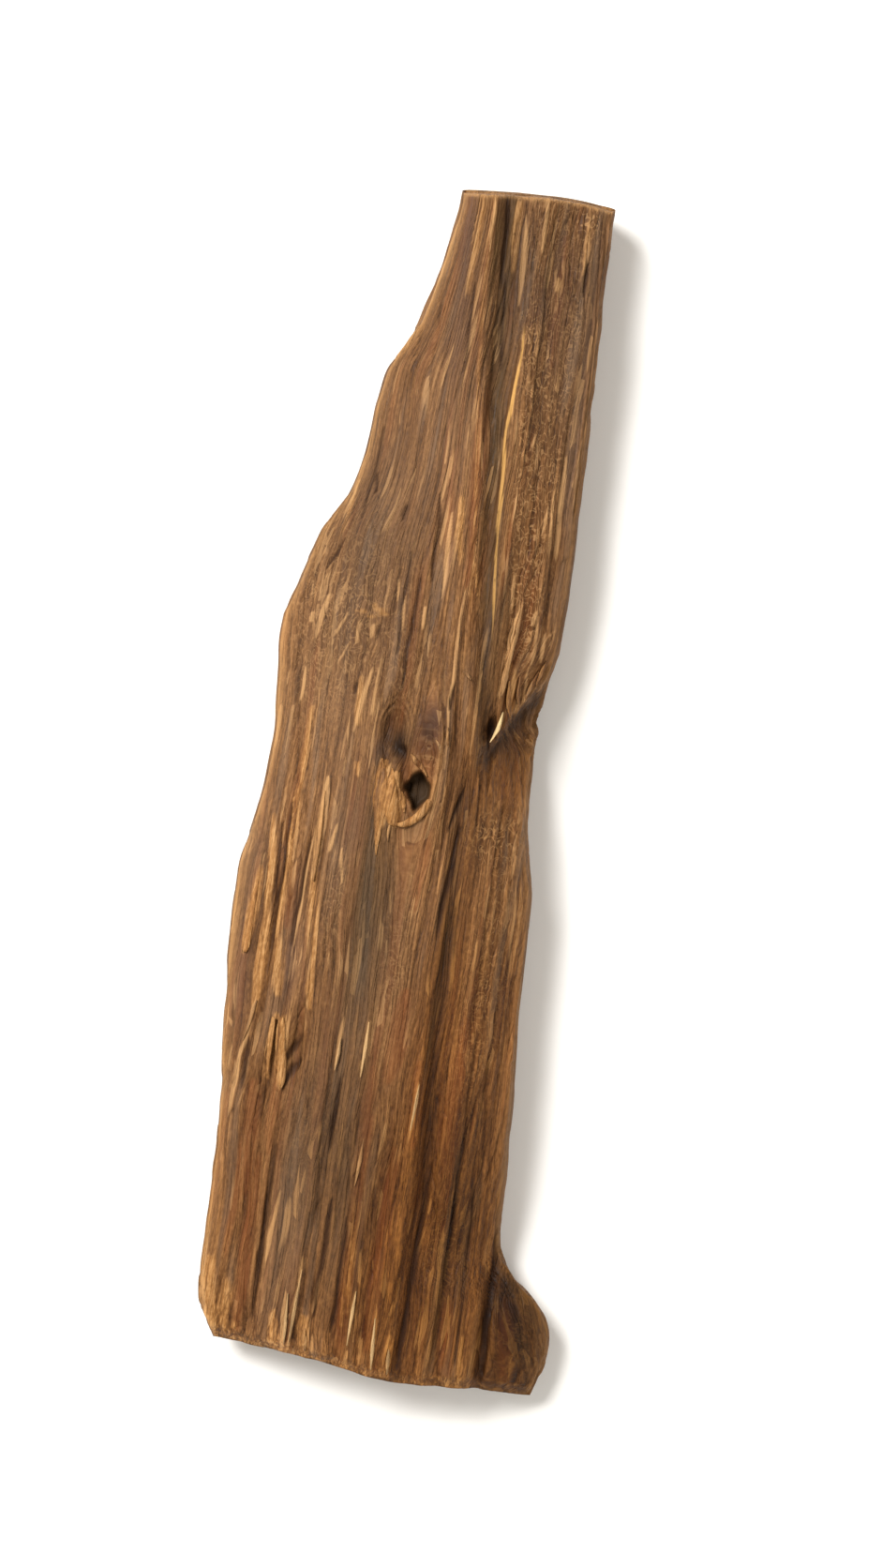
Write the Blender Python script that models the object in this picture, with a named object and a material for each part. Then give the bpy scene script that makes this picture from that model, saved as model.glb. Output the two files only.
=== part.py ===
"""A piece of agarwood: one stave of resinous wood, sawn at one end and broken at the other.

It lies on its cleft back with its weathered face up. Sizes are in millimetres and are scaled to
metres when the mesh is made. +Y runs along the grain to the sawn end, +X across the face and +Z
up. The origin is under the middle of the piece, on the surface that it rests on.
"""

import math

import bmesh
import bpy
from mathutils import Matrix, Vector, noise

MM = 0.001

# Driving sizes
HALF_LENGTH = 79.0  # middle of the piece to the plain line of each end
CREST_HEIGHT = 16.6  # the thickest place, beside the knot
END_BLEND = 14.0  # how far from an end its outline still bends the rows of points

# The outline seen from above, as (along, across) for the long edges
LEFT_EDGE = [
    (-79.0, -19.2), (-76.6, -20.4), (-72.5, -22.0), (-62.0, -22.4), (-46.0, -22.9), (-35.0, -24.0),
    (-22.0, -24.8), (-14.0, -24.9), (-6.6, -23.6), (2.0, -22.8), (10.0, -23.3), (18.5, -23.8),
    (25.0, -22.2), (31.0, -20.5), (36.0, -17.9), (41.0, -16.4), (49.0, -15.7), (53.5, -15.0),
    (57.5, -12.8), (61.5, -11.3), (70.0, -9.4), (79.0, -8.3),
]
RIGHT_EDGE = [
    (-79.0, 23.2), (-76.0, 24.3), (-72.5, 24.8), (-69.5, 24.2), (-66.5, 22.0), (-63.4, 18.8),
    (-60.0, 16.4), (-50.0, 15.7), (-40.0, 15.1), (-30.0, 14.4), (-20.0, 14.1), (-13.0, 13.5),
    (-6.6, 12.3), (0.0, 11.5), (8.0, 11.2), (14.0, 11.6), (20.0, 12.6), (32.0, 12.7),
    (50.0, 12.2), (79.0, 11.6),
]
EDGE_CHIPS = [(9.0, 0.22), (3.6, 0.14)]  # (length, depth) of the small unevenness of both long edges
# The two ends, as (across, along)
BROKEN_END = [(-20.0, -77.4), (-11.0, -77.7), (-3.0, -78.4), (5.0, -79.6), (13.0, -79.2), (24.0, -79.4)]
SAWN_END = [(-8.5, 76.9), (-4.0, 77.6), (2.0, 78.0), (8.0, 77.9), (12.0, 77.7)]

# Heights above the resting surface, as (along, height)
CREST = [(-79.0, 11.2), (-50.0, 14.2), (-12.0, CREST_HEIGHT), (25.0, 15.8), (79.0, 12.6)]
LEFT_RIM = [(-79.0, 6.4), (-40.0, 7.4), (5.0, 6.6), (30.0, 7.4), (79.0, 8.4)]
RIGHT_RIM = [(-79.0, 4.4), (-62.0, 5.8), (-48.0, 8.2), (-10.0, 8.8), (12.0, 7.8), (35.0, 9.2), (79.0, 9.0)]
CREST_PLACE = [(-79.0, 0.5), (-40.0, 0.0), (0.0, -1.0), (40.0, -1.2), (79.0, -4.0)]
FACE_CURVE = 2.1  # how round the face falls from the crest to the rims

# The furrow between the two upper staves, and the valley that carries on below the knot
FURROW = [
    (5.5, 5.3), (10.0, 4.6), (18.0, 3.2), (28.0, 2.1), (38.0, 1.2), (48.0, 0.1), (58.0, -1.0),
    (79.0, -2.2),
]
FURROW_DEPTH, FURROW_LEFT_WIDTH = 2.1, 0.9
FURROW_RIGHT_WIDTH = [(5.5, 0.9), (30.0, 1.4), (60.0, 2.3), (79.0, 2.6)]
VALLEY = [
    (-79.0, 5.1), (-67.0, 5.5), (-57.0, 5.4), (-47.0, 4.9), (-37.0, 4.1), (-27.0, 3.4),
    (-17.0, 2.8), (3.0, 3.4),
]
VALLEY_DEPTH, VALLEY_HALF_WIDTH = 1.5, 1.9
GROOVE_FADE = [(-5.0, 3.0), (-4.0, 3.0)]  # where a groove fades, from the low and the high end of its path
FOOT_SEAM_X, FOOT_SEAM_DEPTH, FOOT_SEAM_HALF_WIDTH = 16.2, 1.3, 0.9
FOOT_SEAM_FADE = (-64.0, -56.0)

# The right stave breaks off along a slanting line, and the wood below it lies lower
BREAK_POINT, BREAK_SLOPE = (9.0, 12.5), 1.6
BREAK_DROP, BREAK_STEP = 2.8, (-0.4, 1.6)  # how far down, and over what distance across
BREAK_START, BREAK_RECOVERY = (-5.5, -2.0), (4.0, 17.0)  # where it starts on the left and ends below

# The knot: a hollow where the fibres part, and the hole below it
KNOT = (-2.8, -0.6)
KNOT_PUSH, KNOT_REACH_X, KNOT_REACH_Y = 1.8, 5.5, 12.0
KNOT_HOLE_TOP, KNOT_HOLE_BOTTOM, KNOT_HOLE_DEPTH = 2.1, 0.9, 8.0
KNOT_HOLE_STRETCH, KNOT_HOLE_TILT, KNOT_HOLE_SIDES = (0.85, 1.35), 0.16, 9
HOLLOW, HOLLOW_SIZE, HOLLOW_DEPTH = (-7.4, 6.2), (1.7, 4.4), 2.2
FLAP, FLAP_SIZE, FLAP_HEIGHT = (-6.3, -3.6), (1.3, 4.6), 0.8
SLIT, SLIT_SIZE, SLIT_DEPTH = (5.6, 9.2), (0.9, 2.8), 2.6
CLEFT, CLEFT_SIZE, CLEFT_DEPTH = (-13.8, -36.5), (1.0, 5.0), 1.5

# Flutes and lumps that follow the grain, each as (width, length, height, seed)
FLUTES = [(11.0, 26.0, 1.0, 2.9), (3.4, 44.0, 0.6, 1.3), (1.7, 22.0, 0.35, 7.1)]
BACK_FLUTES = [(4.6, 60.0, 0.9, 3.7), (2.4, 30.0, 0.5, 9.2)]

# Weathered cracks between the fibres of the face, as (across, along) for their upper and lower ends
CRACKS = [
    ((-19.4, -8.0), (-19.2, -33.0)), ((-14.4, -5.0), (-14.0, -27.0)), ((-16.6, -30.0), (-17.4, -44.0)),
    ((-9.2, -22.0), (-9.0, -44.0)), ((-4.0, -32.0), (-4.6, -58.0)), ((-14.9, -50.0), (-14.8, -74.0)),
    ((-8.2, -50.0), (-8.8, -76.0)), ((0.6, -40.0), (0.2, -76.0)), ((9.8, -34.0), (10.4, -72.0)),
    ((8.6, -4.0), (8.9, -30.0)), ((-9.4, 60.0), (-9.6, 22.0)), ((10.2, 50.0), (10.8, 26.0)),
]
CRACK_DEPTH, CRACK_HALF_WIDTH, CRACK_TAPER = 0.6, 0.8, 5.0

# The back was hollowed with a gouge, so it rests on the flat lands between the scoops
SCOOPS = [  # middle across, middle along, half width, half length, depth
    (-11.0, -52.0, 6.5, 17.0, 2.4), (5.0, -38.0, 6.0, 15.0, 2.0), (-12.0, 6.0, 7.0, 16.0, 2.5),
    (6.0, 2.0, 4.5, 14.0, 1.7), (-5.0, 44.0, 5.0, 15.0, 2.1), (7.5, 62.0, 4.5, 12.0, 1.9),
]
LAND_CUT = 0.5  # how much of the highest wood of the back is worn away to make the lands
BACK_INSET_LEFT, BACK_INSET_RIGHT = 2.8, 2.2
BACK_EDGE_LIFT, BACK_EDGE_WIDTH = 2.4, 4.5
BACK_END_LIFT, BACK_END_WIDTH = 1.2, 5.0
BACK_END_SHIFT = 0.8  # how much of the shift of the face's end the back follows
SIDE_BULGE = 1.4

# The sawn face leans out towards the back, and the broken end is a little ragged
SAW_LEAN = 0.23
FRAY_DEPTH, FRAY_WIDTH = 0.4, 1.6
TORN_DEPTH, TORN_WIDTH, TORN_HEIGHT = 0.7, 1.6, 2.2
TORN_SHARES, TORN_HOLLOW = (0.25, 0.65), 0.25
END_DROP, END_DROP_LENGTH = 1.2, 2.4

# How many points the section and the length are made of
ROWS = 80
FACE_POINTS = 38
SIDE_POINTS = 2
BACK_POINTS = 14

WOOD_COLOUR = (0.19, 0.098, 0.045, 1.0)
WOOD_ROUGHNESS = 0.62


def through(points, at):
    """The value at a position on a smooth curve through (position, value) points."""
    at = min(max(at, points[0][0]), points[-1][0])
    i = max(k for k in range(len(points) - 1) if points[k][0] <= at)

    def slope(k):
        low, high = points[max(k - 1, 0)], points[min(k + 1, len(points) - 1)]
        return (high[1] - low[1]) / (high[0] - low[0])

    (p0, v0), (p1, v1) = points[i], points[i + 1]
    span = p1 - p0
    t = (at - p0) / span
    return (
        v0 * (1 + 2 * t) * (1 - t) ** 2
        + slope(i) * span * t * (1 - t) ** 2
        + v1 * t * t * (3 - 2 * t)
        + slope(i + 1) * span * t * t * (t - 1)
    )


def ease(value, low, high):
    """0 below low, 1 above high, and smooth between them."""
    t = min(max((value - low) / (high - low), 0.0), 1.0)
    return t * t * (3 - 2 * t)


def edge(points, y):
    """Where a long edge lies at this height, chips included."""
    seed = points[0][1]
    chips = sum(depth * noise.noise(Vector((y / length, seed, length))) for length, depth in EDGE_CHIPS)
    return through(points, y) + chips


def bump(x, y, middle, size):
    """A smooth mound of height 1, with the given half widths across and along."""
    return math.exp(-(((x - middle[0]) / size[0]) ** 2) - ((y - middle[1]) / size[1]) ** 2)


def grain(x, y):
    """The position across the grain, where the fibres part round the knot."""
    dx = x - KNOT[0]
    push = KNOT_PUSH * bump(x, y, KNOT, (KNOT_REACH_X, KNOT_REACH_Y))
    return x - push * math.tanh(dx)


def fluting(x, y, flutes):
    """Long low ridges along the grain."""
    g = grain(x, y)
    return sum(
        height * noise.noise(Vector((g / width, y / length, seed)))
        for width, length, height, seed in flutes
    )


def groove(x, y, path, depth, left_width, right_width):
    """How deep a long groove cuts at this place. It fades out at the ends of its path."""
    low, high = path[0][0], path[-1][0]
    (low_start, low_end), (high_start, high_end) = GROOVE_FADE
    fade = ease(y, low + low_start, low + low_end) if low > -HALF_LENGTH else 1.0
    fade *= 1.0 - ease(y, high + high_start, high + high_end) if high < HALF_LENGTH else 1.0
    off = x - through(path, y)
    return depth * fade * math.exp(-((off / (left_width if off < 0.0 else right_width)) ** 2))


def cracking(x, y):
    """How deep the weathered cracks cut at this place."""
    deepest = 0.0
    for (top_x, top_y), (low_x, low_y) in CRACKS:
        along = (top_y - y) / (top_y - low_y)
        off = x - (top_x + (low_x - top_x) * min(max(along, 0.0), 1.0))
        ends = ease(y, low_y - CRACK_TAPER, low_y) * (1.0 - ease(y, top_y, top_y + CRACK_TAPER))
        deepest = max(deepest, ends * math.exp(-((off / CRACK_HALF_WIDTH) ** 2)))
    return CRACK_DEPTH * deepest


def break_drop(x, y):
    """How far the wood lies lower below the slanting break of the right stave."""
    past = (x - BREAK_POINT[0]) - (y - BREAK_POINT[1]) / BREAK_SLOPE
    right_of_furrow = ease(x - BREAK_POINT[0], *BREAK_START)
    recovery = 1.0 - ease(BREAK_POINT[1] - y, *BREAK_RECOVERY)
    return BREAK_DROP * ease(past, *BREAK_STEP) * right_of_furrow * recovery


def face_height(x, y, left, right):
    """Height of the weathered face."""
    crest_x = through(CREST_PLACE, y)
    crest = through(CREST, y)
    if x < crest_x:
        rim, out = through(LEFT_RIM, y), (crest_x - x) / (crest_x - left)
    else:
        rim, out = through(RIGHT_RIM, y), (x - crest_x) / (right - crest_x)
    z = crest - (crest - rim) * min(out, 1.0) ** FACE_CURVE
    z += fluting(x, y, FLUTES)
    z -= groove(x, y, FURROW, FURROW_DEPTH, FURROW_LEFT_WIDTH, through(FURROW_RIGHT_WIDTH, y))
    z -= groove(x, y, VALLEY, VALLEY_DEPTH, VALLEY_HALF_WIDTH, VALLEY_HALF_WIDTH)
    seam = math.exp(-(((x - FOOT_SEAM_X) / FOOT_SEAM_HALF_WIDTH) ** 2))
    z -= FOOT_SEAM_DEPTH * seam * (1.0 - ease(y, *FOOT_SEAM_FADE))
    z -= cracking(x, y)
    z -= break_drop(x, y)
    z -= HOLLOW_DEPTH * bump(x, y, HOLLOW, HOLLOW_SIZE)
    z += FLAP_HEIGHT * bump(x, y, FLAP, FLAP_SIZE)
    z -= SLIT_DEPTH * bump(x, y, SLIT, SLIT_SIZE)
    z -= CLEFT_DEPTH * bump(x, y, CLEFT, CLEFT_SIZE)
    from_end = y - through(BROKEN_END, x)
    z -= END_DROP * (1.0 - ease(from_end, 0.0, END_DROP_LENGTH)) ** 2
    return z


def back_height(x, y, left, right):
    """Height of the hollowed back. The lands between the scoops are flat, at zero."""
    z = fluting(x, y, BACK_FLUTES) - LAND_CUT
    for across, along, half_width, half_length, depth in SCOOPS:
        z += depth * bump(x, y, (across, along), (half_width, half_length))
    near_edge = min(x - left, right - x)
    z += BACK_EDGE_LIFT * (1.0 - ease(near_edge, 0.0, BACK_EDGE_WIDTH))
    near_end = min(y + HALF_LENGTH, HALF_LENGTH - y)
    z += BACK_END_LIFT * (1.0 - ease(near_end, 0.0, BACK_END_WIDTH))
    return max(z, 0.0)


def middle_height(x, y):
    """Halfway between the back and the face."""
    left, right = edge(LEFT_EDGE, y), edge(RIGHT_EDGE, y)
    x = min(max(x, left + BACK_INSET_LEFT), right - BACK_INSET_RIGHT)
    face = face_height(x, y, left, right)
    return (face + back_height(x, y, left + BACK_INSET_LEFT, right - BACK_INSET_RIGHT)) / 2


def fray(x):
    """How far the fibres of the broken end fall short of its plain line."""
    return FRAY_DEPTH * (0.5 + noise.noise(Vector((x / FRAY_WIDTH, 4.4, 0.7))))


def end_shift(x, row_y):
    """Moves a row of points so that the first and last rows follow the outlines of the ends."""
    to_broken = (1.0 - ease(row_y + HALF_LENGTH, 0.0, END_BLEND)) ** 2
    to_sawn = (1.0 - ease(HALF_LENGTH - row_y, 0.0, END_BLEND)) ** 2
    broken = through(BROKEN_END, x) + HALF_LENGTH + fray(x) * to_broken**4
    return broken * to_broken + (through(SAWN_END, x) - HALF_LENGTH) * to_sawn


def section(row_y):
    """One closed ring round the piece: face left to right, right side, back, left side."""
    left, right = edge(LEFT_EDGE, row_y), edge(RIGHT_EDGE, row_y)
    back_left, back_right = left + BACK_INSET_LEFT, right - BACK_INSET_RIGHT
    ring = []
    for i in range(FACE_POINTS):
        x = left + (right - left) * i / (FACE_POINTS - 1)
        y = row_y + end_shift(x, row_y)
        ring.append(Vector((x, y, face_height(x, y, left, right))))
    back = []
    for i in range(BACK_POINTS):
        x = back_right + (back_left - back_right) * i / (BACK_POINTS - 1)
        y = row_y + end_shift(x, row_y) * BACK_END_SHIFT
        back.append(Vector((x, y, back_height(x, y, back_left, back_right))))
    for start, end, outward in ((ring[-1], back[0], 1.0), (back[-1], ring[0], -1.0)):
        side = []
        for k in range(1, SIDE_POINTS + 1):
            share = k / (SIDE_POINTS + 1)
            point = start.lerp(end, share)
            point.x += outward * SIDE_BULGE * math.sin(math.pi * share)
            side.append(point)
        ring += side
        if outward > 0:
            ring += back
    return ring


def torn_ring(ring, share):
    """A copy of the broken end's ring, closed up towards the middle of the wood and torn ragged."""
    torn = []
    for p in ring:
        middle = middle_height(p.x, p.y)
        z = middle + (p.z - middle) * share
        ragged = noise.noise(Vector((p.x / TORN_WIDTH, z / TORN_HEIGHT, 5.5)))
        inward = TORN_DEPTH * (ragged + TORN_HOLLOW * (1.0 - share))
        torn.append(Vector((p.x, p.y + inward, z)))
    return torn


def solid_from(rings):
    """Joins rings of equal length into one closed mesh, with a face across each end."""
    mesh = bmesh.new()
    loops = [[mesh.verts.new(p * MM) for p in ring] for ring in rings]
    count = len(loops[0])
    for near, far in zip(loops, loops[1:]):
        for i in range(count):
            j = (i + 1) % count
            mesh.faces.new((near[i], near[j], far[j], far[i]))
    mesh.faces.new(list(reversed(loops[0])))
    mesh.faces.new(loops[-1])
    bmesh.ops.triangulate(mesh, faces=mesh.faces[:])
    bmesh.ops.recalc_face_normals(mesh, faces=mesh.faces[:])
    return mesh


def wood_material():
    """Dark resinous wood."""
    material = bpy.data.materials.new("agarwood")
    material.use_nodes = True
    shader = material.node_tree.nodes["Principled BSDF"]
    shader.inputs["Base Color"].default_value = WOOD_COLOUR
    shader.inputs["Roughness"].default_value = WOOD_ROUGHNESS
    shader.inputs["Metallic"].default_value = 0.0
    return material


def make_stave():
    """The body of the piece."""
    rows = [-HALF_LENGTH + 2 * HALF_LENGTH * i / (ROWS - 1) for i in range(ROWS)]
    rings = [section(y) for y in rows]
    for p in rings[-1]:
        p.y += SAW_LEAN * (through(CREST, HALF_LENGTH) - p.z)
    torn = [torn_ring(rings[0], share) for share in TORN_SHARES]
    solid = solid_from(torn + rings)
    data = bpy.data.meshes.new("agarwood_piece")
    solid.to_mesh(data)
    solid.free()
    piece = bpy.data.objects.new("agarwood_piece", data)
    bpy.context.scene.collection.objects.link(piece)
    data.materials.append(wood_material())
    data.shade_smooth()
    data.set_sharp_from_angle(angle=math.radians(50))
    return piece


def make_knot_cutter():
    """A tapered, slightly tilted plug that cuts the hole in the knot."""
    shape = bmesh.new()
    bmesh.ops.create_cone(
        shape,
        cap_ends=True,
        segments=KNOT_HOLE_SIDES,
        radius1=KNOT_HOLE_BOTTOM * MM,
        radius2=KNOT_HOLE_TOP * MM,
        depth=KNOT_HOLE_DEPTH * 2 * MM,
    )
    bmesh.ops.scale(shape, vec=(*KNOT_HOLE_STRETCH, 1.0), verts=shape.verts)
    tilt = Matrix.Rotation(KNOT_HOLE_TILT, 3, "Y")
    bmesh.ops.rotate(shape, cent=(0, 0, 0), verts=shape.verts, matrix=tilt)
    data = bpy.data.meshes.new("knot_cutter")
    shape.to_mesh(data)
    shape.free()
    cutter = bpy.data.objects.new("knot_cutter", data)
    bpy.context.scene.collection.objects.link(cutter)
    cutter.location = Vector((KNOT[0], KNOT[1], CREST_HEIGHT)) * MM
    cutter.hide_render = True
    cutter.display_type = "WIRE"
    return cutter


def cut(piece, cutter):
    """Takes the cutter's shape out of the piece."""
    boolean = piece.modifiers.new("knot_hole", "BOOLEAN")
    boolean.operation = "DIFFERENCE"
    boolean.solver = "EXACT"
    boolean.object = cutter


def main():
    """Clears the scene and builds the piece."""
    for old in list(bpy.data.objects):
        bpy.data.objects.remove(old)
    piece = make_stave()
    cut(piece, make_knot_cutter())


main()
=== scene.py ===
# A piece of agarwood, lying on its gouged back: the fine wood surface over the plain solid
import math

import bmesh
import bpy
import numpy as np
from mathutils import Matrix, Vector, noise


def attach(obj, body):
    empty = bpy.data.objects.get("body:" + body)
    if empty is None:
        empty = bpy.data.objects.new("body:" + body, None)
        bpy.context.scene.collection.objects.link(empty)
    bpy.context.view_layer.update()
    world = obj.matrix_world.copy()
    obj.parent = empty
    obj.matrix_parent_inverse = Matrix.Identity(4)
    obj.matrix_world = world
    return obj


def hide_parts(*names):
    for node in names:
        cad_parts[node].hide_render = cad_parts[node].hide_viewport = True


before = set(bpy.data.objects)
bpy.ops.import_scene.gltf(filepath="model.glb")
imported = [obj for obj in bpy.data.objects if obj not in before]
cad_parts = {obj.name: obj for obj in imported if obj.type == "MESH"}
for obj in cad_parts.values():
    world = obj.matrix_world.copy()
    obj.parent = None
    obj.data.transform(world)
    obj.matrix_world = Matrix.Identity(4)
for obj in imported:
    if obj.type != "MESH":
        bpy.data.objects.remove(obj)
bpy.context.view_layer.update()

mm = 0.001
woodNode = "agarwood_piece"

# All lengths below are in millimetres: across is +X, along the grain is +Y, and up is +Z
stave = {
    "halfLength": 79.0,
    "rows": 340,            # rings of points along the piece
    "facePoints": 214,      # points of a ring over the weathered face
    "sidePoints": 10,
    "backPoints": 44,
    "capRings": 8,          # rings that close each end
    "fibreHeight": 0.075,   # the fine ridges of the weathered face
    "strandHeight": 0.11,   # how much higher one split strand may lie than the next
    "crinkleHeight": 0.08,  # the short waves of the right stave
    "crackDepth": 0.45,
    "lineDepth": 0.25,      # how deep the thin dark lines are
    "sawMarkHeight": 0.05,
    "sawLean": 0.15,        # how far the sawn face leans out for each millimetre down
    "bevel": 0.5,           # the worn edge of the sawn end
    "scallopHeight": 0.5,   # the tool marks of the back
    "faceRound": 2.1,       # higher keeps the face flatter before it falls to its rims
    "sideBulge": 1.4,
    "backInset": (2.8, 2.2),  # how much narrower the back is on the left and on the right
    "backSink": 0.5,
    "backRound": 2.4, "backRoundReach": 4.5,
    "backEndLift": 1.2, "backEndReach": 5,
    "brokenDrop": 1.2, "brokenReach": 2.4,
    "endReach": 14,         # how far from an end its outline still moves the rows
    "cutEndReach": (75.5, 79),
    "pathSharpness": 0.04,  # the sharp line at the bottom of the furrow and the valley
    "strandSize": (1.3, 26), "bigStrandSize": (3.6, 60),
    "wornPlace": (-12, 30), "wornReach": (8, 24), "wornSmooth": 0.65,  # the shoulder is worn smooth
    "paleHeight": 0.08, "ochreHeight": 0.14,  # how far the light fibres stand proud
}

# The outline seen from above, the same as the solid's, as (along, across)
leftEdge = [
    (-79, -19.2), (-76.6, -20.4), (-72.5, -22), (-62, -22.4), (-46, -22.9), (-35, -24),
    (-22, -24.8), (-14, -24.9), (-6.6, -23.6), (2, -22.8), (10, -23.3), (18.5, -23.8),
    (25, -22.2), (31, -20.5), (36, -17.9), (41, -16.4), (49, -15.7), (53.5, -15),
    (57.5, -12.8), (61.5, -11.3), (70, -9.4), (79, -8.3),
]
rightEdge = [
    (-79, 23.2), (-76, 24.3), (-72.5, 24.8), (-69.5, 24.2), (-66.5, 22), (-63.4, 18.8),
    (-60, 16.4), (-50, 15.7), (-40, 15.1), (-30, 14.4), (-20, 14.1), (-13, 13.5),
    (-6.6, 12.3), (0, 11.5), (8, 11.2), (14, 11.6), (20, 12.6), (32, 12.7),
    (50, 12.2), (79, 11.6),
]
edgeChips = [(9, 0.22), (3.6, 0.14)]  # (length, depth)
brokenEnd = [(-20, -77.4), (-11, -77.7), (-3, -78.4), (5, -79.6), (13, -79.2), (24, -79.4)]
sawnEnd = [(-8.5, 77.4), (-4, 77.9), (2, 78.3), (5, 78.4), (8, 78.3), (12, 77.7)]

# Heights above the floor, as (along, height), and where the crest runs, as (along, across)
crest = [(-79, 11.2), (-50, 14.2), (-12, 16.6), (25, 15.8), (79, 12.6)]
crestPlace = [(-79, 0.5), (-40, 0), (0, -1), (40, -1.2), (79, -4)]
leftRim = [(-79, 6.4), (-40, 7.4), (5, 6.6), (30, 7.4), (79, 8.4)]
rightRim = [(-79, 4.4), (-62, 5.8), (-48, 8.2), (-10, 8.8), (12, 7.8), (35, 9.2), (79, 9)]
# Long waves of the surface, as (width, length, height, seed)
flutes = [(11, 26, 1, 2.9), (3.4, 44, 0.6, 1.3), (1.7, 22, 0.35, 7.1)]
backFlutes = [(4.6, 60, 0.9, 3.7), (2.4, 30, 0.5, 9.2)]

# The furrow between the upper staves, and the valley below the knot, as (along, across)
furrow = {
    "path": [
        (5.5, 5.3), (10, 4.6), (18, 3.2), (28, 2.1), (38, 1.2), (48, 0.1), (58, -1),
        (79, -2.2),
    ],
    "depth": 1.25, "left": 1.2,
    "right": [(5.5, 0.9), (30, 1.4), (60, 2.3), (79, 2.6)],
    # from the bottom of the furrow to the ochre ridge on its left, partly painted highlight, and to the
    # light line on its right, a painted highlight
    "ridgeGap": [(5, 1.2), (30, 1.9), (45, 2.1), (66, 2.3), (79, 1.8)],
    "lineGap": [(24, 0.9), (34, 0.85), (38, 1.1), (42, 1.4), (47, 1.55), (50, 2.05), (58, 3.35)],
}
valley = {
    "path": [
        (-79, 6), (-67, 6), (-57, 5.7), (-47, 5.3), (-37, 4.4), (-27, 3.9),
        (-17, 3.8), (-6, 3.2), (3, 3.5),
    ],
    "depth": 1.3, "half": 1.5,
}
footSeam = {"across": 16.2, "half": 0.9, "depth": 1.3, "fade": (-64, -56)}

# Cracks between the fibres, as (across, along) for their upper and lower ends
cracks = [
    ((-19.4, -8), (-19.2, -33)), ((-14.4, -5), (-14, -27)), ((-16.6, -30), (-17.4, -44)),
    ((-9.2, -22), (-9, -44)), ((-4, -32), (-4.6, -58)), ((-14.9, -50), (-14.8, -74)),
    ((-8.2, -50), (-8.8, -76)), ((0.6, -40), (0.2, -76)), ((9.8, -34), (10.4, -72)),
    ((8.6, -4), (8.9, -30)), ((-9.4, 60), (-9.6, 22)), ((10.2, 50), (10.8, 26)),
]

# Gouge scoops of the back, as (across, along, half width, half length, depth)
scoops = [
    (-11, -52, 6.5, 17, 2.4), (5, -38, 6, 15, 2), (-12, 6, 7, 16, 2.5), (6, 2, 4.5, 14, 1.7),
    (-5, 44, 5, 15, 2.1), (7.5, 62, 4.5, 12, 1.9),
]

knot = {
    "place": (-2.8, -0.6),
    "push": 1.8, "reach": (5.5, 12),      # how the fibres part round it
    "hole": (-2.9, -1.1), "holeDepth": 2.6,
    # the hole's outline from its middle, as (degrees from +X, radius)
    "holeOutline": [
        (-25, 1.9), (0, 1.75), (25, 1.85), (60, 1.95), (85, 2.45), (108, 2.3), (137, 1.9),
        (171, 1.9), (210, 1.6), (252, 2), (268, 2.8), (295, 2.1), (335, 1.9), (360, 1.75),
    ],
    "hollow": (-7.4, 6.2), "hollowSize": (1.7, 4.4), "hollowDepth": 2.2,
    # hollowDark is where the hollow's painted shade is darkest
    "hollowDark": (-6.2, 4.2), "hollowWarm": (-6.9, 7.2),
    "channel": [(-5.7, 3.6), (-4.9, 0.8), (-4.4, -1.4)],
    "flap": (-6.3, -3.6), "flapSize": (1.3, 4.6), "flapHeight": 0.8,
}
stepDown = {
    "point": (9.8, 12.5), "slope": 1.5, "drop": 2.8, "over": (-0.2, 0.8), "start": (-6, -3),
    "recovery": (4, 17), "lip": 0.25,
    "slit": (5.6, 8.2), "slitSize": (0.7, 1.8), "slitDepth": 1.2,
}
cleft = {"place": (-13.8, -36.5), "size": (1, 5), "depth": 1.5}

# Lens-shaped streaks, as (across, along) of the upper and lower tips, and half the width
ochreStreaks = [
    ((-16.5, 38.5), (-17.7, 31), 0.3), ((-2.8, 38), (-1.8, 29), 0.45), ((-12.4, 12.8), (-12.2, 6), 0.45),
    ((-14.4, 21.4), (-12, 20.4), 0.9), ((-12, 22.2), (-10.4, 20.8), 0.8), ((0.1, 29.8), (1.2, 25), 0.35),
    ((-18.4, -1), (-18.7, -23.5), 0.75), ((-18.2, -23), (-17.4, -31), 0.6),
    ((-15.1, -10), (-13, -32), 0.75), ((-22, -14), (-22.5, -26), 0.8), ((-21.2, -7), (-20.2, -22), 0.6),
    ((-20.3, -20), (-20.1, -33.5), 0.9), ((-16.2, -33), (-15.2, -43), 0.9),
    ((-17.4, -33), (-17.2, -42), 0.6), ((-18.5, 8), (-18.4, -3), 0.45), ((-11.4, 1.6), (-11, -0.6), 0.35),
    ((-21.6, -66), (-19.6, -78), 1.1), ((-16.6, -74.4), (-17.8, -77.2), 0.4),
    ((-18.6, -69), (-18.2, -78), 0.8), ((-7.8, -72), (-6.8, -78.6), 0.9),
    ((-11.9, -72), (-11.3, -78), 0.7), ((4, -73), (4.2, -79.8), 0.5), ((13.6, -72), (13.4, -79), 0.4),
    ((20.2, -73), (20.6, -79.5), 0.4), ((-2.8, -56), (-2.6, -73), 0.6), ((-5.6, 79), (-5.8, 64), 0.45),
    ((5.9, 68.6), (5.9, 66.2), 0.35), ((8.8, 76), (8.8, 69), 0.3), ((-1.1, 77.6), (-0.4, 68), 0.45),
    ((7.2, 17), (7.9, 10.2), 0.5), ((12.3, -12), (13.2, -24), 0.4), ((-7.6, 2.4), (-7.2, -6.8), 1.3),
    ((-6, 1), (-5.4, -6.6), 1.2),
]
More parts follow.
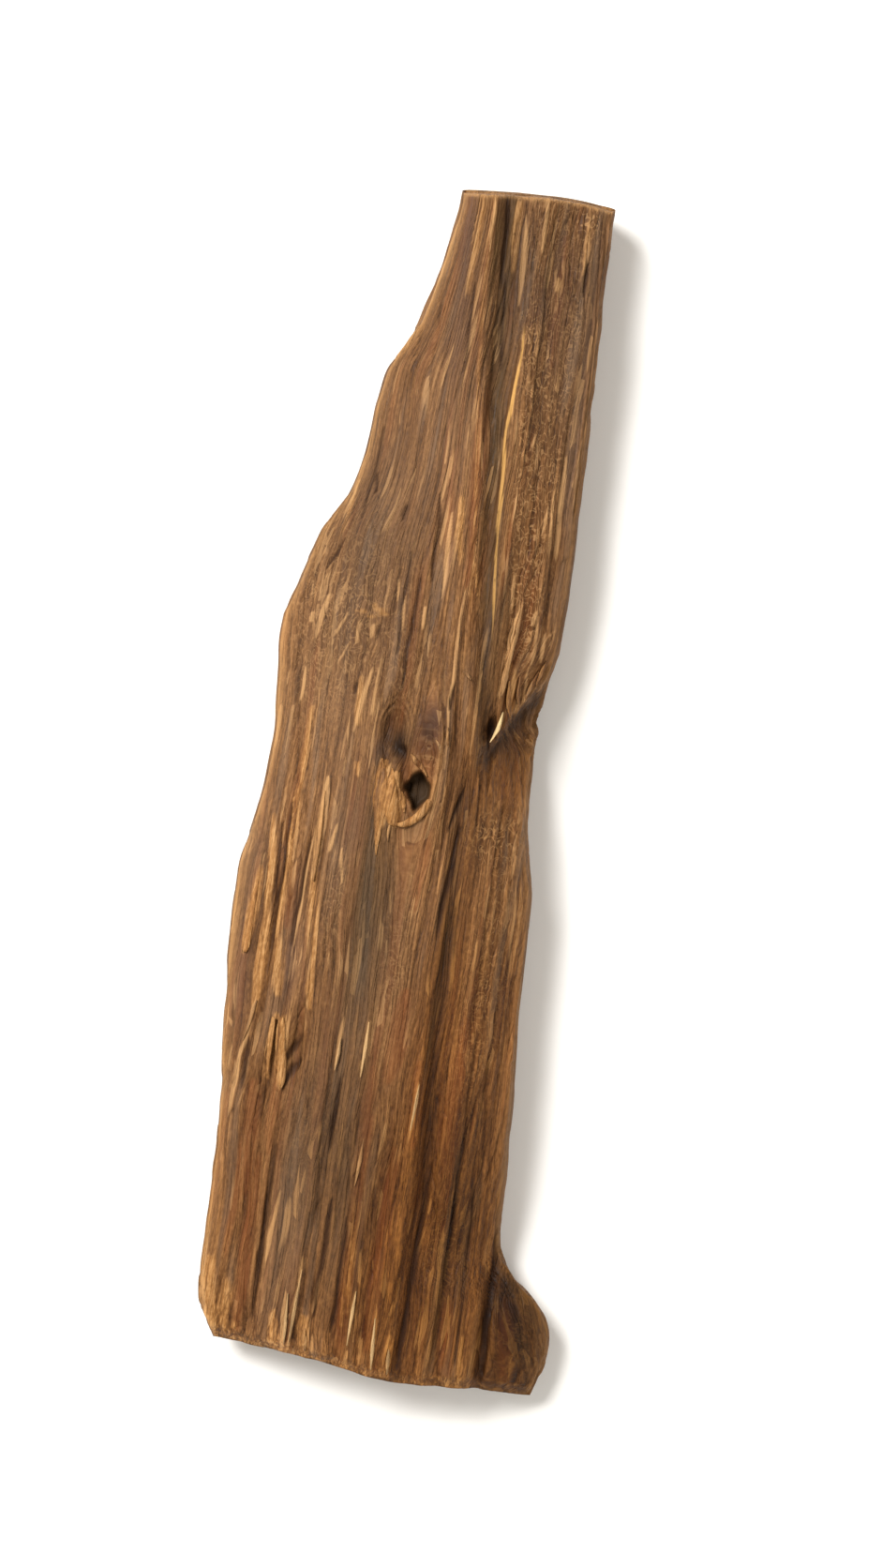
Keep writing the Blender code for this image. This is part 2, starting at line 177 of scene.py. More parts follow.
paleStreaks = [
    ((10.5, 45.5), (10.9, 31), 0.3), ((9.4, 41), (9.9, 31.5), 0.22), ((8.8, 38.5), (8.6, 34.2), 0.2),
    ((2.9, 49.5), (3, 45.5), 0.2), ((4.6, 39.5), (4.5, 35.5), 0.22), ((5.9, 47.5), (5.6, 45.2), 0.25),
    ((12, 48.5), (12.1, 38), 0.22), ((-18.4, 23), (-19.2, 16.5), 0.42),
    ((-20.2, 20.2), (-20.2, 18.6), 0.35), ((-15.2, 21), (-16.8, 17.2), 0.28),
    ((-14.6, 17), (-16, 13.6), 0.22), ((-20, 13), (-20.4, 8), 0.28), ((-13.6, 20), (-13.9, 16.4), 0.28),
    ((-11.8, 20), (-11.9, 17.6), 0.32), ((-10, 16.5), (-10.5, 7.5), 0.25),
    ((-5.4, 23.2), (-5.2, 19.8), 0.28), ((-9.4, 26), (-9, 22.8), 0.24), ((-20.3, 34), (-21.4, 29), 0.3),
    ((-3.6, 36), (-3.4, 24), 0.3), ((-20.9, 24.6), (-20.5, 22), 0.3), ((-8.2, 24), (-8, 19), 0.25),
    ((-15, -1), (-14.9, -15), 0.55), ((-15.7, -8), (-16.3, -25.5), 0.25),
    ((-20.1, -31.5), (-21.2, -40), 0.3), ((-21.2, -38), (-21.6, -48), 0.35),
    ((-4.8, -32), (-4.9, -39.8), 0.3), ((-8.2, -32), (-8.4, -39), 0.25), ((-12.6, -7), (-13.2, -11), 0.3),
    ((-11.8, -10), (-11, -15), 0.25), ((2.9, -39), (2.5, -47.5), 0.25), ((-0.8, -45), (-0.9, -50), 0.22),
    ((-1.5, -62), (-1.2, -67), 0.25), ((-1.4, -67.5), (-1.6, -75.5), 0.3),
    ((-1.6, -75.8), (-1.7, -79), 0.3), ((1.5, -69), (2.1, -79.6), 0.3), ((-9, -64), (-9.4, -78.2), 0.35),
    ((-10.6, -69), (-10, -78.2), 0.35), ((-22.2, -64), (-20.6, -77.6), 0.3),
    ((-13.2, -56), (-14, -66), 0.35), ((-6.4, -66), (-6.9, -72), 0.3), ((7.3, 25.5), (6.1, 12.5), 0.35),
    ((5.9, 29), (6.1, 24), 0.22), ((9.5, 24.4), (9.1, 22.4), 0.35), ((9.8, 23), (9.7, 17), 0.25),
    ((10.9, 22), (10.8, 17.5), 0.25), ((0.5, 76), (0.9, 63.5), 0.35), ((2.9, 79), (3.1, 71), 0.3),
    ((-3.9, 78.5), (-3.9, 70), 0.25), ((5.9, 68.4), (5.8, 66.4), 0.35), ((4.6, 72), (4.4, 66), 0.2),
    ((-8.4, 78), (-10.4, 64), 0.25), ((7.6, -19), (7.7, -24.5), 0.2), ((3.2, 22), (3.3, 4), 0.25),
    ((-0.4, 26), (-0.3, 5), 0.3), ((9.2, 16.5), (9, 12.2), 0.2), ((8.5, 14), (8.4, 10.8), 0.2),
    ((6.8, 23.8), (5.9, 12.2), 0.35), ((11, 21), (12.3, 22.6), 0.2), ((-11.2, 14), (-12.4, 5), 0.3),
    ((11.8, -12), (12.4, -26), 0.22), ((8.4, -12), (8.5, -17), 0.2),
]
rustStreaks = [
    ((-0.9, -5), (-1.1, -17), 0.7), ((-0.6, -27), (-1.2, -40), 1.1), ((-3.4, -38), (-3.6, -48), 0.6),
    ((2.6, -36), (3, -48), 0.7), ((-3, -44), (-2.6, -76), 0.9), ((0.9, -48), (0.9, -76), 0.9),
    ((-16.9, -52), (-16.4, -76), 0.8), ((-22.6, -44), (-22.4, -62), 0.7), ((-18.8, -42), (-18, -58), 0.9),
    ((-19, -50), (-19.4, -66), 0.7), ((5.8, 74), (6.6, 56), 0.7), ((18.5, -66), (20, -78), 1.2),
    ((8, -30), (9, -60), 0.5), ((-1.6, 46), (-0.2, 26), 0.6), ((-4.6, 44), (-3.4, 28), 0.4),
    ((11, -68), (12, -78), 0.8), ((-17.4, -13), (-17.6, -22), 0.5), ((-15.8, -38), (-15.6, -52), 0.6),
    ((-12.2, 60), (-9.4, 76), 0.4),
]
darkLines = [
    ((-5.5, 38), (-4.7, 26), 0.28), ((-17.4, 30.5), (-19, 26), 0.16), ((-10.9, 20), (-11, 17.6), 0.2),
    ((-14.2, 39.5), (-14.1, 36.8), 0.2), ((-9.8, 36), (-10, 33.5), 0.25),
    ((-12.8, 12), (-12.9, 10), 0.22), ((-19.2, -5), (-19.3, -28), 0.22),
    ((-16.3, -10), (-16.6, -24), 0.26), ((-14.7, -50), (-14.8, -74), 0.3),
    ((-6.4, -56), (-6.6, -72), 0.4), ((-0.1, 13), (0, 9.6), 0.35), ((-3.9, -58), (-3.8, -74), 0.2),
    ((-13.4, -35.2), (-14.9, -39.4), 0.35), ((-13.3, -38.4), (-15, -42.6), 0.4),
    ((-20.3, -37), (-20.5, -43.5), 0.35), ((16.2, -54), (16.6, -79.6), 0.4),
    ((12.4, -52), (12.9, -76), 0.25), ((5.9, -50), (5.7, -79), 0.35), ((3.4, -5), (2.6, -20), 0.35),
    ((1.9, -6), (3.2, 0), 0.25), ((-20, -8), (-19.9, -20), 0.2), ((-2.3, 79), (-1.5, 66), 0.35),
    ((-1.4, 68), (-0.2, 55), 0.25), ((-7.4, -40), (-7.6, -50), 0.3), ((10, -50), (10.4, -66), 0.25),
    ((-8.4, 30), (-8, 16), 0.2), ((9.5, 71), (9.7, 66.5), 0.3), ((-6.6, 27), (-6.9, 12), 0.25),
    ((-14.2, 46), (-15.6, 33), 0.2), ((-5.2, 66), (-4.8, 54), 0.2),
]

# Soft patches of colour, as (across, along, half width, half length, amount)
greyPatches = [
    (-12.5, 32, 6, 20, 0.5), (-8, -48, 4, 15, 0.8), (-12.8, -60, 1.6, 14, 0.8), (-23, -18, 1.4, 14, 0.7),
    (-10.2, -62, 1.2, 10, 0.6), (-14.4, -22, 1.2, 9, 0.4), (0.8, 66, 1.6, 14, 0.4), (9, 62, 3, 16, 0.5),
    (-19, 14, 4, 10, 0.3), (4, -18, 3, 10, 0.5), (-12, -12, 1.6, 8, 0.6), (-5, -60, 1.2, 12, 0.6),
    (-4, 50, 5, 20, 0.45), (-6, -20, 5, 14, 0.4), (-14, 4, 5, 10, 0.3),
]
plumPatches = [
    (-7.1, 72, 0.9, 9, 0.8), (-6.2, 60, 1, 9, 0.6), (-2.2, 7.8, 1.4, 2.5, 1), (-16.1, -27, 0.9, 5.5, 0.9),
    (-16.9, -17, 0.5, 6, 0.5), (11.2, 60, 0.9, 20, 0.6), (3.6, 64.6, 1.8, 3, 0.5),
    (-8.5, 3.6, 1.1, 1.8, 0.6), (-22.6, -32, 1.2, 6, 0.6), (6.8, 64, 1.2, 8, 0.4),
    (-10.4, -6, 1.2, 5, 0.5), (-11.2, -74, 4, 5, 0.3),
]
toneAndShadePatches = [  # where the wood is lighter or darker: partly its own tone, partly painted shade round the knot's hollow and hole, at the slit and on the foot
    (-14, 28, 6, 14, -0.18), (-4, 42, 4, 12, 0.1), (6, 68, 6, 12, -0.2), (7, 48, 4.5, 16, -0.02),
    (4.5, 25, 0.9, 5, -0.28), (-6, -20, 4, 12, -0.25), (6, -60, 1.6, 18, 0.14), (0.2, 66, 1.6, 10, -0.08),
    (-6.5, 66, 4, 12, -0.08), (-8, -48, 4, 14, -0.27), (-1, -58, 4, 14, -0.26), (10.5, -60, 5, 16, -0.27),
    (20.5, -70, 4.5, 10, -0.38), (-17, -56, 5, 14, -0.1), (-3.6, 5.4, 3.2, 3, -0.22),
    (-2.6, -4.8, 1.8, 2.8, -0.24), (5.6, -5, 2, 5, -0.12), (-4, 15, 6, 5, -0.07), (9, -45, 4, 10, -0.1),
    (9, -24, 4, 9, -0.11), (1, -72, 12, 5, -0.07), (-2.4, 8.2, 1.5, 2.4, -0.14),
    (4.6, 5.6, 0.9, 3, -0.16), (-8.6, 2.6, 0.8, 1.6, -0.16), (-0.8, -16, 2, 10, 0.06),
    (-8, -77, 12, 3, 0.14),
]
warmPatches = [  # where the brown is deeper
    (10, -30, 6, 18, 0.5), (10, -62, 9, 20, 1), (0, -66, 8, 18, 0.6), (20.5, -70, 5, 10, 1),
    (4, -25, 2.5, 25, 1), (9, 4, 4, 6, 0.9), (-18, -60, 5, 14, 0.3), (-8, -48, 4, 14, 0.4),
]
smoothPatches = [  # where the fibres hardly show
    (-14, 28, 6, 16, 1), (-10, 14, 8, 6, 0.6), (-5, 52, 4, 18, 0.5), (9, 4, 4, 6, 0.8),
    (-6, -20, 4, 12, 0.5), (9.5, -20, 4, 12, 0.3), (7, 40, 4, 22, 0.5),
]
crinklePatches = [  # where the fibres twist, apart from the right stave
    (7.5, -6, 3.2, 3, 0.9), (9, 76, 1.6, 1.6, 0.9), (-2.6, -24, 2.2, 9, 0.35),
    (9.5, -26, 3, 18, 0.55), (9.5, -60, 3, 8, 0.45), (-11.6, -18, 1.2, 7, 0.5),
    (-19, 12, 5, 14, 0.25), (-10, -48, 4, 10, 0.2), (20, -70, 3, 6, 0.5),
]
ripplePatches = [(-15, 22, 7, 11, 1), (-6, 14, 5, 6, 0.5), (-2, 4, 2, 3, 0.8)]
olivePatches = [
    (-3.1, 71, 0.8, 7, 1), (-7.6, -17, 2.6, 15, 0.7), (9, 5, 3, 6, 0.4), (4.4, 16, 1.2, 8, 0.5),
    (1, 40, 1, 12, 0.5),
]


def field(across, along, up):  # smooth noise from -1 to 1, for whole arrays at once
    across, along, up = np.broadcast_arrays(across, along, up)
    points = zip(across.ravel().tolist(), along.ravel().tolist(), up.ravel().tolist())
    return np.array([noise.noise(p) for p in points]).reshape(across.shape)


def ease(value, low, high):
    t = np.clip((value - low) / (high - low), 0.0, 1.0)
    return t * t * (3 - 2 * t)


def through(points, at):  # a smooth curve through (position, value) points
    pos, val = np.array(points).T
    slope = np.empty(len(pos))
    slope[1:-1] = (val[2:] - val[:-2]) / (pos[2:] - pos[:-2])
    slope[0] = (val[1] - val[0]) / (pos[1] - pos[0])
    slope[-1] = (val[-1] - val[-2]) / (pos[-1] - pos[-2])
    at = np.clip(at, pos[0], pos[-1])
    i = np.clip(np.searchsorted(pos, at, side="right") - 1, 0, len(pos) - 2)
    span = pos[i + 1] - pos[i]
    t = (at - pos[i]) / span
    return (
        val[i] * (1 + 2 * t) * (1 - t) ** 2
        + slope[i] * span * t * (1 - t) ** 2
        + val[i + 1] * t * t * (3 - 2 * t)
        + slope[i + 1] * span * t * t * (t - 1)
    )


def bell(value):
    return np.exp(-value * value)


def mound(x, y, middle, size):
    return bell((x - middle[0]) / size[0]) * bell((y - middle[1]) / size[1])


def patches(x, y, places):
    return np.clip(sum(amount * mound(x, y, (a, b), (w, h)) for a, b, w, h, amount in places), 0.0, 1.0)


def edgeAt(points, y):
    seed = points[0][1]
    return through(points, y) + sum(depth * field(y / length, seed, length) for length, depth in edgeChips)


def grainAcross(x, y):  # where a point lies across the grain, with the fibres parted round the knot
    push = knot["push"] * mound(x, y, knot["place"], knot["reach"])
    return x - push * np.tanh(x - knot["place"][0])


def fluting(x, y, layers):
    g = grainAcross(x, y)
    return sum(height * field(g / width, y / length, seed) for width, length, height, seed in layers)


def groove(x, y, path, depth, left, right):
    low, high = path[0][0], path[-1][0]
    fade = ease(y, low - 5.0, low + 3.0) if low > -stave["halfLength"] else 1.0
    if high < stave["halfLength"]:
        fade = fade * (1.0 - ease(y, high - 4.0, high + 3.0))
    off = x - through(path, y)
    core = stave["pathSharpness"] * np.exp(-np.abs(off) / 0.35)
    return depth * fade * (bell(off / np.where(off < 0.0, left, right)) + core)


def lens(x, y, top, low, half, soft=0.18):  # a long streak with pointed ends
    a = np.clip((top[1] - y) / (top[1] - low[1]), 0.0, 1.0)
    wander = 0.3 * field(y / 6.0, top[0], top[1])
    off = np.abs(x - (top[0] + (low[0] - top[0]) * a) - wander)
    width = half * (4 * a * (1 - a)) ** 0.4
    return ease(width - off, -soft, soft) * (width > 0.02)


def streaks(x, y, places, soft):
    wobble = 0.2 * field(x / 0.8, y / 4.0, 6.1)
    return np.max([lens(x + wobble, y, *place, soft=soft) for place in places], axis=0)


def cracking(x, y):
    deepest = np.zeros_like(x)
    for top, low in cracks:
        a = np.clip((top[1] - y) / (top[1] - low[1]), 0.0, 1.0)
        off = np.abs(x - (top[0] + (low[0] - top[0]) * a) - 0.3 * field(y / 5.0, top[0], 3.3))
        ends = ease(y, low[1] - 5.0, low[1]) * (1.0 - ease(y, top[1], top[1] + 5.0))
        deepest = np.maximum(deepest, ends * (0.45 * bell(off / 0.7) + 0.6 * np.exp(-off / 0.16)))
    return deepest


def pastBreak(x, y):  # how far a point lies below the slanting line where the right stave breaks off
    px, py = stepDown["point"]
    ragged = 0.45 * field(x / 0.9, y / 4.0, 8.8) + 0.25 * field(x / 0.4, y / 3.0, 2.8)
    return (x - px) - (y - py) / stepDown["slope"] + ragged


def breakDrop(x, y):
    px, py = stepDown["point"]
    recovery = 1.0 - ease(py - y, *stepDown["recovery"])
    past = pastBreak(x, y)
    drop = stepDown["drop"] * ease(past, *stepDown["over"]) - stepDown["lip"] * bell((past + 0.4) / 0.4)
    return drop * ease(x - px, *stepDown["start"]) * recovery


def holeDistance(x, y):  # 1 on the outline of the knot hole
    dx, dy = x - knot["hole"][0], y - knot["hole"][1]
    angle = np.degrees(np.arctan2(dy, dx))
    angle = np.where(angle < -25.0, angle + 360.0, angle)
    return np.hypot(dx, dy) / through(knot["holeOutline"], angle)


def faceHeight(x, y, left, right):
    crestX, top = through(crestPlace, y), through(crest, y)
    onLeft = x < crestX
    rim = np.where(onLeft, through(leftRim, y), through(rightRim, y))
    out = np.where(onLeft, (crestX - x) / (crestX - left), (x - crestX) / (right - crestX))
    z = top - (top - rim) * np.clip(out, 0.0, 1.0) ** stave["faceRound"]
    z += fluting(x, y, flutes)
    z -= groove(x, y, furrow["path"], furrow["depth"], furrow["left"], through(furrow["right"], y))
    z -= groove(x, y, valley["path"], valley["depth"], valley["half"], valley["half"])
    seam = bell((x - footSeam["across"]) / footSeam["half"]) * (1.0 - ease(y, *footSeam["fade"]))
    z -= footSeam["depth"] * seam + breakDrop(x, y)
    z -= knot["hollowDepth"] * mound(x, y, knot["hollow"], knot["hollowSize"])
    z += knot["flapHeight"] * mound(x, y, knot["flap"], knot["flapSize"])
    z -= stepDown["slitDepth"] * mound(x, y, stepDown["slit"], stepDown["slitSize"])
    z -= cleft["depth"] * mound(x, y, cleft["place"], cleft["size"])
    fromEnd = y - through(brokenEnd, x)
    z -= stave["brokenDrop"] * (1.0 - ease(fromEnd, 0.0, stave["brokenReach"])) ** 2
    fromSaw = through(sawnEnd, x) - y
    return z - stave["bevel"] * np.clip(1.0 - fromSaw / stave["bevel"], 0.0, 1.0) ** 2


def faceAt(x, y):  # the face's height at any place on it
    return faceHeight(x, y, edgeAt(leftEdge, y), edgeAt(rightEdge, y))


def backHeight(x, y, left, right):
    z = fluting(x, y, backFlutes) - stave["backSink"]
    scooped = 0.0
    for across, along, halfWidth, halfLength, depth in scoops:
        scoop = mound(x, y, (across, along), (halfWidth, halfLength))
        z += depth * scoop
        scooped = np.maximum(scooped, scoop)
    toEdge = np.minimum(x - left, right - x)
    z += stave["backRound"] * (1.0 - ease(toEdge, 0.0, stave["backRoundReach"]))
    nearEnd = stave["halfLength"] - np.abs(y)
    z += stave["backEndLift"] * (1.0 - ease(nearEnd, 0.0, stave["backEndReach"]))
    marks, _ = strands(x / 4.2, y / 11.0, np.zeros_like(x), first=True)
    z -= stave["scallopHeight"] * (marks - 0.35) * scooped  # each stroke left a shallow scallop
    return np.maximum(z, 0.0)


def endShift(x, rowY):
    toBroken = (1.0 - ease(rowY + stave["halfLength"], 0.0, stave["endReach"])) ** 2
    toSawn = (1.0 - ease(stave["halfLength"] - rowY, 0.0, stave["endReach"])) ** 2
    fray = 0.14 * (0.5 + field(x / 2.4, 4.4, 0.7)) + 0.03 * field(x / 0.5, 9.0, 2.0)
    broken = through(brokenEnd, x) + stave["halfLength"] + fray * toBroken ** 4
    return broken * toBroken + (through(sawnEnd, x) - stave["halfLength"]) * toSawn


def rowPlaces():  # rows stand closer near the knot and at the two ends
    fine = np.linspace(-1.0, 1.0, 4001) * stave["halfLength"]
    density = 1.0 + 1.0 * bell((fine - 1.0) / 9.0)
    density += 1.3 * bell((fine + 79.0) / 5.0) + 1.2 * bell((fine - 79.0) / 2.0)
    total = np.concatenate([[0.0], np.cumsum((density[1:] + density[:-1]) / 2)])
    return np.interp(np.linspace(0.0, total[-1], stave["rows"]), total, fine)


def plainGrid():  # the rings of points without fine relief, and the part of the wood that each point is on
    rowY = rowPlaces()[:, None]
    left, right = edgeAt(leftEdge, rowY), edgeAt(rightEdge, rowY)
    across = np.linspace(0.0, 1.0, stave["facePoints"])[None, :]
    x = left + (right - left) * across
    y = rowY + endShift(x, rowY)
    face = np.stack([x, y, faceHeight(x, y, left, right)], axis=2)
    backLeft, backRight = left + stave["backInset"][0], right - stave["backInset"][1]
    across = np.linspace(0.0, 1.0, stave["backPoints"])[None, :]
    x = backRight + (backLeft - backRight) * across
    y = rowY + 0.8 * endShift(x, rowY)
    back = np.stack([x, y, backHeight(x, y, backLeft, backRight)], axis=2)
    share = (np.arange(1, stave["sidePoints"] + 1) / (stave["sidePoints"] + 1))[None, :, None]
    sides = []
    for start, end, outward in ((face[:, -1:], back[:, :1], 1.0), (back[:, -1:], face[:, :1], -1.0)):
        side = start + (end - start) * share
        side[:, :, 0] += outward * stave["sideBulge"] * np.sin(math.pi * share[:, :, 0])
        sides.append(side)
    grid = np.concatenate([face, sides[0], back, sides[1]], axis=1)
    counts = (face.shape[1], sides[0].shape[1], back.shape[1], sides[1].shape[1])
    region = np.repeat([0, 1, 2, 1], counts)  # 0 the face, 1 a side, 2 the back
    return grid, region


def normalsOf(grid):
    alongStep = np.gradient(grid, axis=0)
    ringStep = np.roll(grid, -1, axis=1) - np.roll(grid, 1, axis=1)
    normal = np.cross(ringStep, alongStep)
    return normal / np.maximum(np.linalg.norm(normal, axis=2, keepdims=True), 1e-9)


def ringBlur(grid, reach):  # the mean of the points within reach steps round the ring
    padded = np.concatenate([grid[:, -reach:], grid, grid[:, :reach]], axis=1)
    total = np.cumsum(padded, axis=1)
    total = np.concatenate([np.zeros_like(total[:, :1]), total], axis=1)
    width = 2 * reach + 1
    return (total[:, width:] - total[:, :-width]) / width


def ridged(across, along, up):  # sharp crests with round valleys
    return 1.0 - 2.0 * np.abs(field(across, along, up))


# Cells in the wood: for each point the gap between two cells, or with first its distance to the nearest
# middle, and the level of its cell
def strands(across, along, up, first=False):
    points = zip(np.ravel(across).tolist(), np.ravel(along).tolist(), np.ravel(up).tolist())
    gaps, levels = [], []
    for point in points:
        distances, middles = noise.voronoi(point)
        gaps.append(distances[0] if first else distances[1] - distances[0])
        levels.append(noise.cell(middles[0] * 7.3))
    return np.reshape(gaps, np.shape(across)), np.reshape(levels, np.shape(across))


grainBends = {
    "wander": 0.4, "wanderSize": (5.0, 13.0, 9.0),
    "fan": 0.55, "fanFrom": -2.0, "fanEdge": -22.0, "fanRows": (14.0, 34.0),  # along the left edge
    "breakLean": 4.0, "breakAcross": (5.5, 8.5), "breakStart": (5.0, 10.0), "breakEnd": (9.0, 22.0),
    "footLean": 5.0, "footAcross": (14.0, 24.0), "footRows": (-79.0, -58.0),
    "swirl": 0.6, "swirlPlace": (-12.0, 18.0), "swirlReach": (4.0, 7.0),
}


def grainOf(x, y, z):  # the place across the grain of every point, with the ways that the fibres bend
    g = grainBends
    across, along, up = g["wanderSize"]
    gx = grainAcross(x, y) + g["wander"] * field(x / across, y / along, z / up)
    edge = through(leftEdge, y)
    toLeft = np.clip((g["fanFrom"] - x) / (g["fanFrom"] - edge), 0.0, 1.0)
    fan = g["fan"] * toLeft * (edge - g["fanEdge"]) * ease(y, *g["fanRows"])
    bend = g["breakLean"] * ease(x, *g["breakAcross"]) * ease(y, *g["breakStart"])
    bend = bend * (1.0 - ease(y, *g["breakEnd"]))
    foot = ease(x, *g["footAcross"]) * (1.0 - ease(y, *g["footRows"])) * g["footLean"]
    swirl = g["swirl"] * mound(x, y, g["swirlPlace"], g["swirlReach"]) * field(x / 2.6, y / 3.0, 2.2)
    return gx - fan + bend - foot + swirl


def surfaceMasks(x, y, region):
    onFace = (region == 0)[None, :] * np.ones_like(x)
    fromPath = x - through(furrow["path"], y)
    rightStave = ease(fromPath, 1.6, 4.2) * ease(y, 12.0, 18.0) * (1.0 - ease(x, 8.6, 11.8))
    rightStave = rightStave * (1.0 - 0.5 * ease(y, 60.0, 68.0))
    rightStave = rightStave * (0.75 + 0.5 * field(x / 1.6, y / 7.0, 4.2))
    inFurrow = ease(y, 18.0, 26.0)
    # the furrow's left lip: partly ochre colour and partly painted highlight where it catches the light
    ridge = bell((fromPath + through(furrow["ridgeGap"], y)) / 0.4) * inFurrow
    # the light line on the furrow's right wall, a painted highlight
    fromLine = fromPath - through(furrow["lineGap"], y)
    onLine = inFurrow * (1.0 - ease(y, 58.0, 62.0))
    patchy = 0.5 + 0.5 * field(3.3, y / 5.0, 7.0)
    past = pastBreak(x, y)
    # painted highlight along the edge where the right stave breaks off
    lip = bell((past + 0.35) / 0.25) * ease(y, 11.0, 12.5) * (1.0 - ease(y, 14.5, 16.0)) * ease(x, 7.5, 9.0)
    # painted shadow in the slit below the break
    slit = np.clip(1.3 * mound(x, y, (5.5, 8.2), (0.45, 1.3)), 0.0, 1.0)
    inChannel = bell(nearPath(x, y, knot["channel"]) / 0.7)
    warmHollow = np.maximum(0.9 * mound(x, y, knot["hollowWarm"], (0.9, 1.8)), inChannel)
    # ochre colour with painted highlight along the furrow's left lip and right wall
    ochreAndHighlightEdges = np.maximum(0.6 * ridge, 0.5 * onLine * bell(fromLine / 0.5)) * (0.75 + 0.4 * patchy)
    masks = {
        "crinkle": np.clip(0.85 * rightStave + patches(x, y, crinklePatches), 0.0, 1.0),
        "ochre": np.maximum(streaks(x, y, ochreStreaks, 0.6), ochreAndHighlightEdges),
        # pale fibres, and the painted highlight along the break's edge
        "pale": np.maximum(streaks(x, y, paleStreaks, 0.2), 0.8 * lip),
        "fromLine": fromLine,
        "onLine": onLine * (0.75 + 0.5 * patchy),
        "rust": np.maximum(streaks(x, y, rustStreaks, 0.6), np.maximum(0.9 * ridge, warmHollow)),
        # the wood's dark lines, and painted shadow in the slit
        "dark": np.maximum(streaks(x, y, darkLines, 0.25), slit),
        "grey": patches(x, y, greyPatches),
        "plum": patches(x, y, plumPatches),
        "olive": np.maximum(patches(x, y, olivePatches), 0.9 * bell((fromPath - 0.4) / 0.9) * inFurrow),
        "warm": patches(x, y, warmPatches),
        "smooth": patches(x, y, smoothPatches),
        "ripple": patches(x, y, ripplePatches),
    }
    left, right = through(leftEdge, y), through(rightEdge, y)
    fromEnd = y - through(brokenEnd, x)
    # Painted highlight along the thin rims, the broken end, the left and right edges and the sawn edge,
    # where they catch the light
    worn = np.exp(-np.maximum(fromEnd, 0.0) / 0.35) * 0.9
    worn = np.maximum(worn, np.exp(-(x - left) / 0.4) * (0.65 + 0.25 * ease(np.abs(y), 56.0, 62.0)))
    worn = np.maximum(worn, np.exp(-(right - x) / 0.35) * (0.25 + 0.6 * (1.0 - ease(y, -66.0, -60.0))))
    masks["worn"] = np.maximum(worn, bell((through(sawnEnd, x) - y) / 0.35) * 0.8)
    for name in masks:
        masks[name] = masks[name] * onFace
    return masks


def nearPath(x, y, path):  # how far a point is from a line through a few points
    best = np.full(np.shape(x), 1e9)
    for (ax, ay), (bx, by) in zip(path, path[1:]):
        wide, long = bx - ax, by - ay
        share = np.clip(((x - ax) * wide + (y - ay) * long) / (wide ** 2 + long ** 2), 0.0, 1.0)
        best = np.minimum(best, np.hypot(x - ax - share * wide, y - ay - share * long))
    return best


# Painted shade: how much darker the wood's colour is made where the valley, the furrow, the break, the
# slit, the knot's hollow and channel and the foot lie in shade; sides sets the side walls' tone and limits
# bound it
shading = {
    "valley": (0.30, 0.16),         # painted shade in the valley, and how much of that it loses lower down
    "furrow": (0.12, 0.14),         # painted shade left and right of the furrow's bottom
    "break": (0.30, 0.08),          # painted shade just below the break, and over the whole lower level
    "slit": 0.25, "slitPlace": (5.2, 6.0), "slitReach": (1.0, 4.0),
    "hollow": (0.42, 0.18),         # painted shade in the hollow's middle and its surroundings
    "channel": 0.12,
    "foot": 0.12, "footSpot": 0.2,
    "limits": (0.25, 1.6),
    "sides": 0.85,
}


def toneAndShadeOf(x, y, region):  # the wood's own tone from place to place, with shade painted in where the valley, the furrow, the lower level below the break, the slit, the knot's hollow and channel and the foot lie in shade
    tone = 1.0 + 0.0 * x
    # painted shade in the valley
    inValley = bell((x - through(valley["path"], y)) / 1.3) * (1.0 - ease(y, -2.0, 4.0))
    dark, lost = shading["valley"]
    tone -= (dark - lost * ease(-y, 42.0, 60.0)) * inValley
    fromPath = x - through(furrow["path"], y)
    # painted shade either side of the furrow's bottom
    tone -= shading["furrow"][0] * bell((fromPath + 0.1) / 0.8) * ease(y, 5.0, 12.0)
    tone -= shading["furrow"][1] * bell((fromPath - 0.8) / 0.8) * ease(y, 5.0, 12.0)
    past = pastBreak(x, y)
    below = ease(x, 4.5, 6.5) * ease(y, 0.0, 6.0) * (1.0 - ease(y, 17.0, 20.0))
    near, level = shading["break"]
    # painted shade below the break
    tone -= (near * bell((past - 1.0) / 1.2) + level * ease(past, *stepDown["over"])) * below
    # painted shadow at the slit, and painted shade in the knot's hollow and channel and over the foot
    tone -= shading["slit"] * mound(x, y, shading["slitPlace"], shading["slitReach"])
    tone -= shading["hollow"][0] * mound(x, y, knot["hollowDark"], (1.0, 1.9))
    tone -= shading["hollow"][1] * mound(x, y, knot["hollow"], (1.6, 4.2))
    tone -= shading["channel"] * bell(nearPath(x, y, knot["channel"]) / 0.8)
    footSpot = shading["footSpot"] * mound(x, y, (18.0, -66.0), (2.0, 3.0))
    tone -= shading["foot"] * ease(x, 15.0, 17.0) + footSpot
    # the wood's own tone, and painted shade round the knot, at the slit and on the foot
    for across, along, halfWidth, halfLength, amount in toneAndShadePatches:
        tone += amount * mound(x, y, (across, along), (halfWidth, halfLength))
    return np.where((region == 0)[None, :], np.clip(tone, *shading["limits"]), shading["sides"])


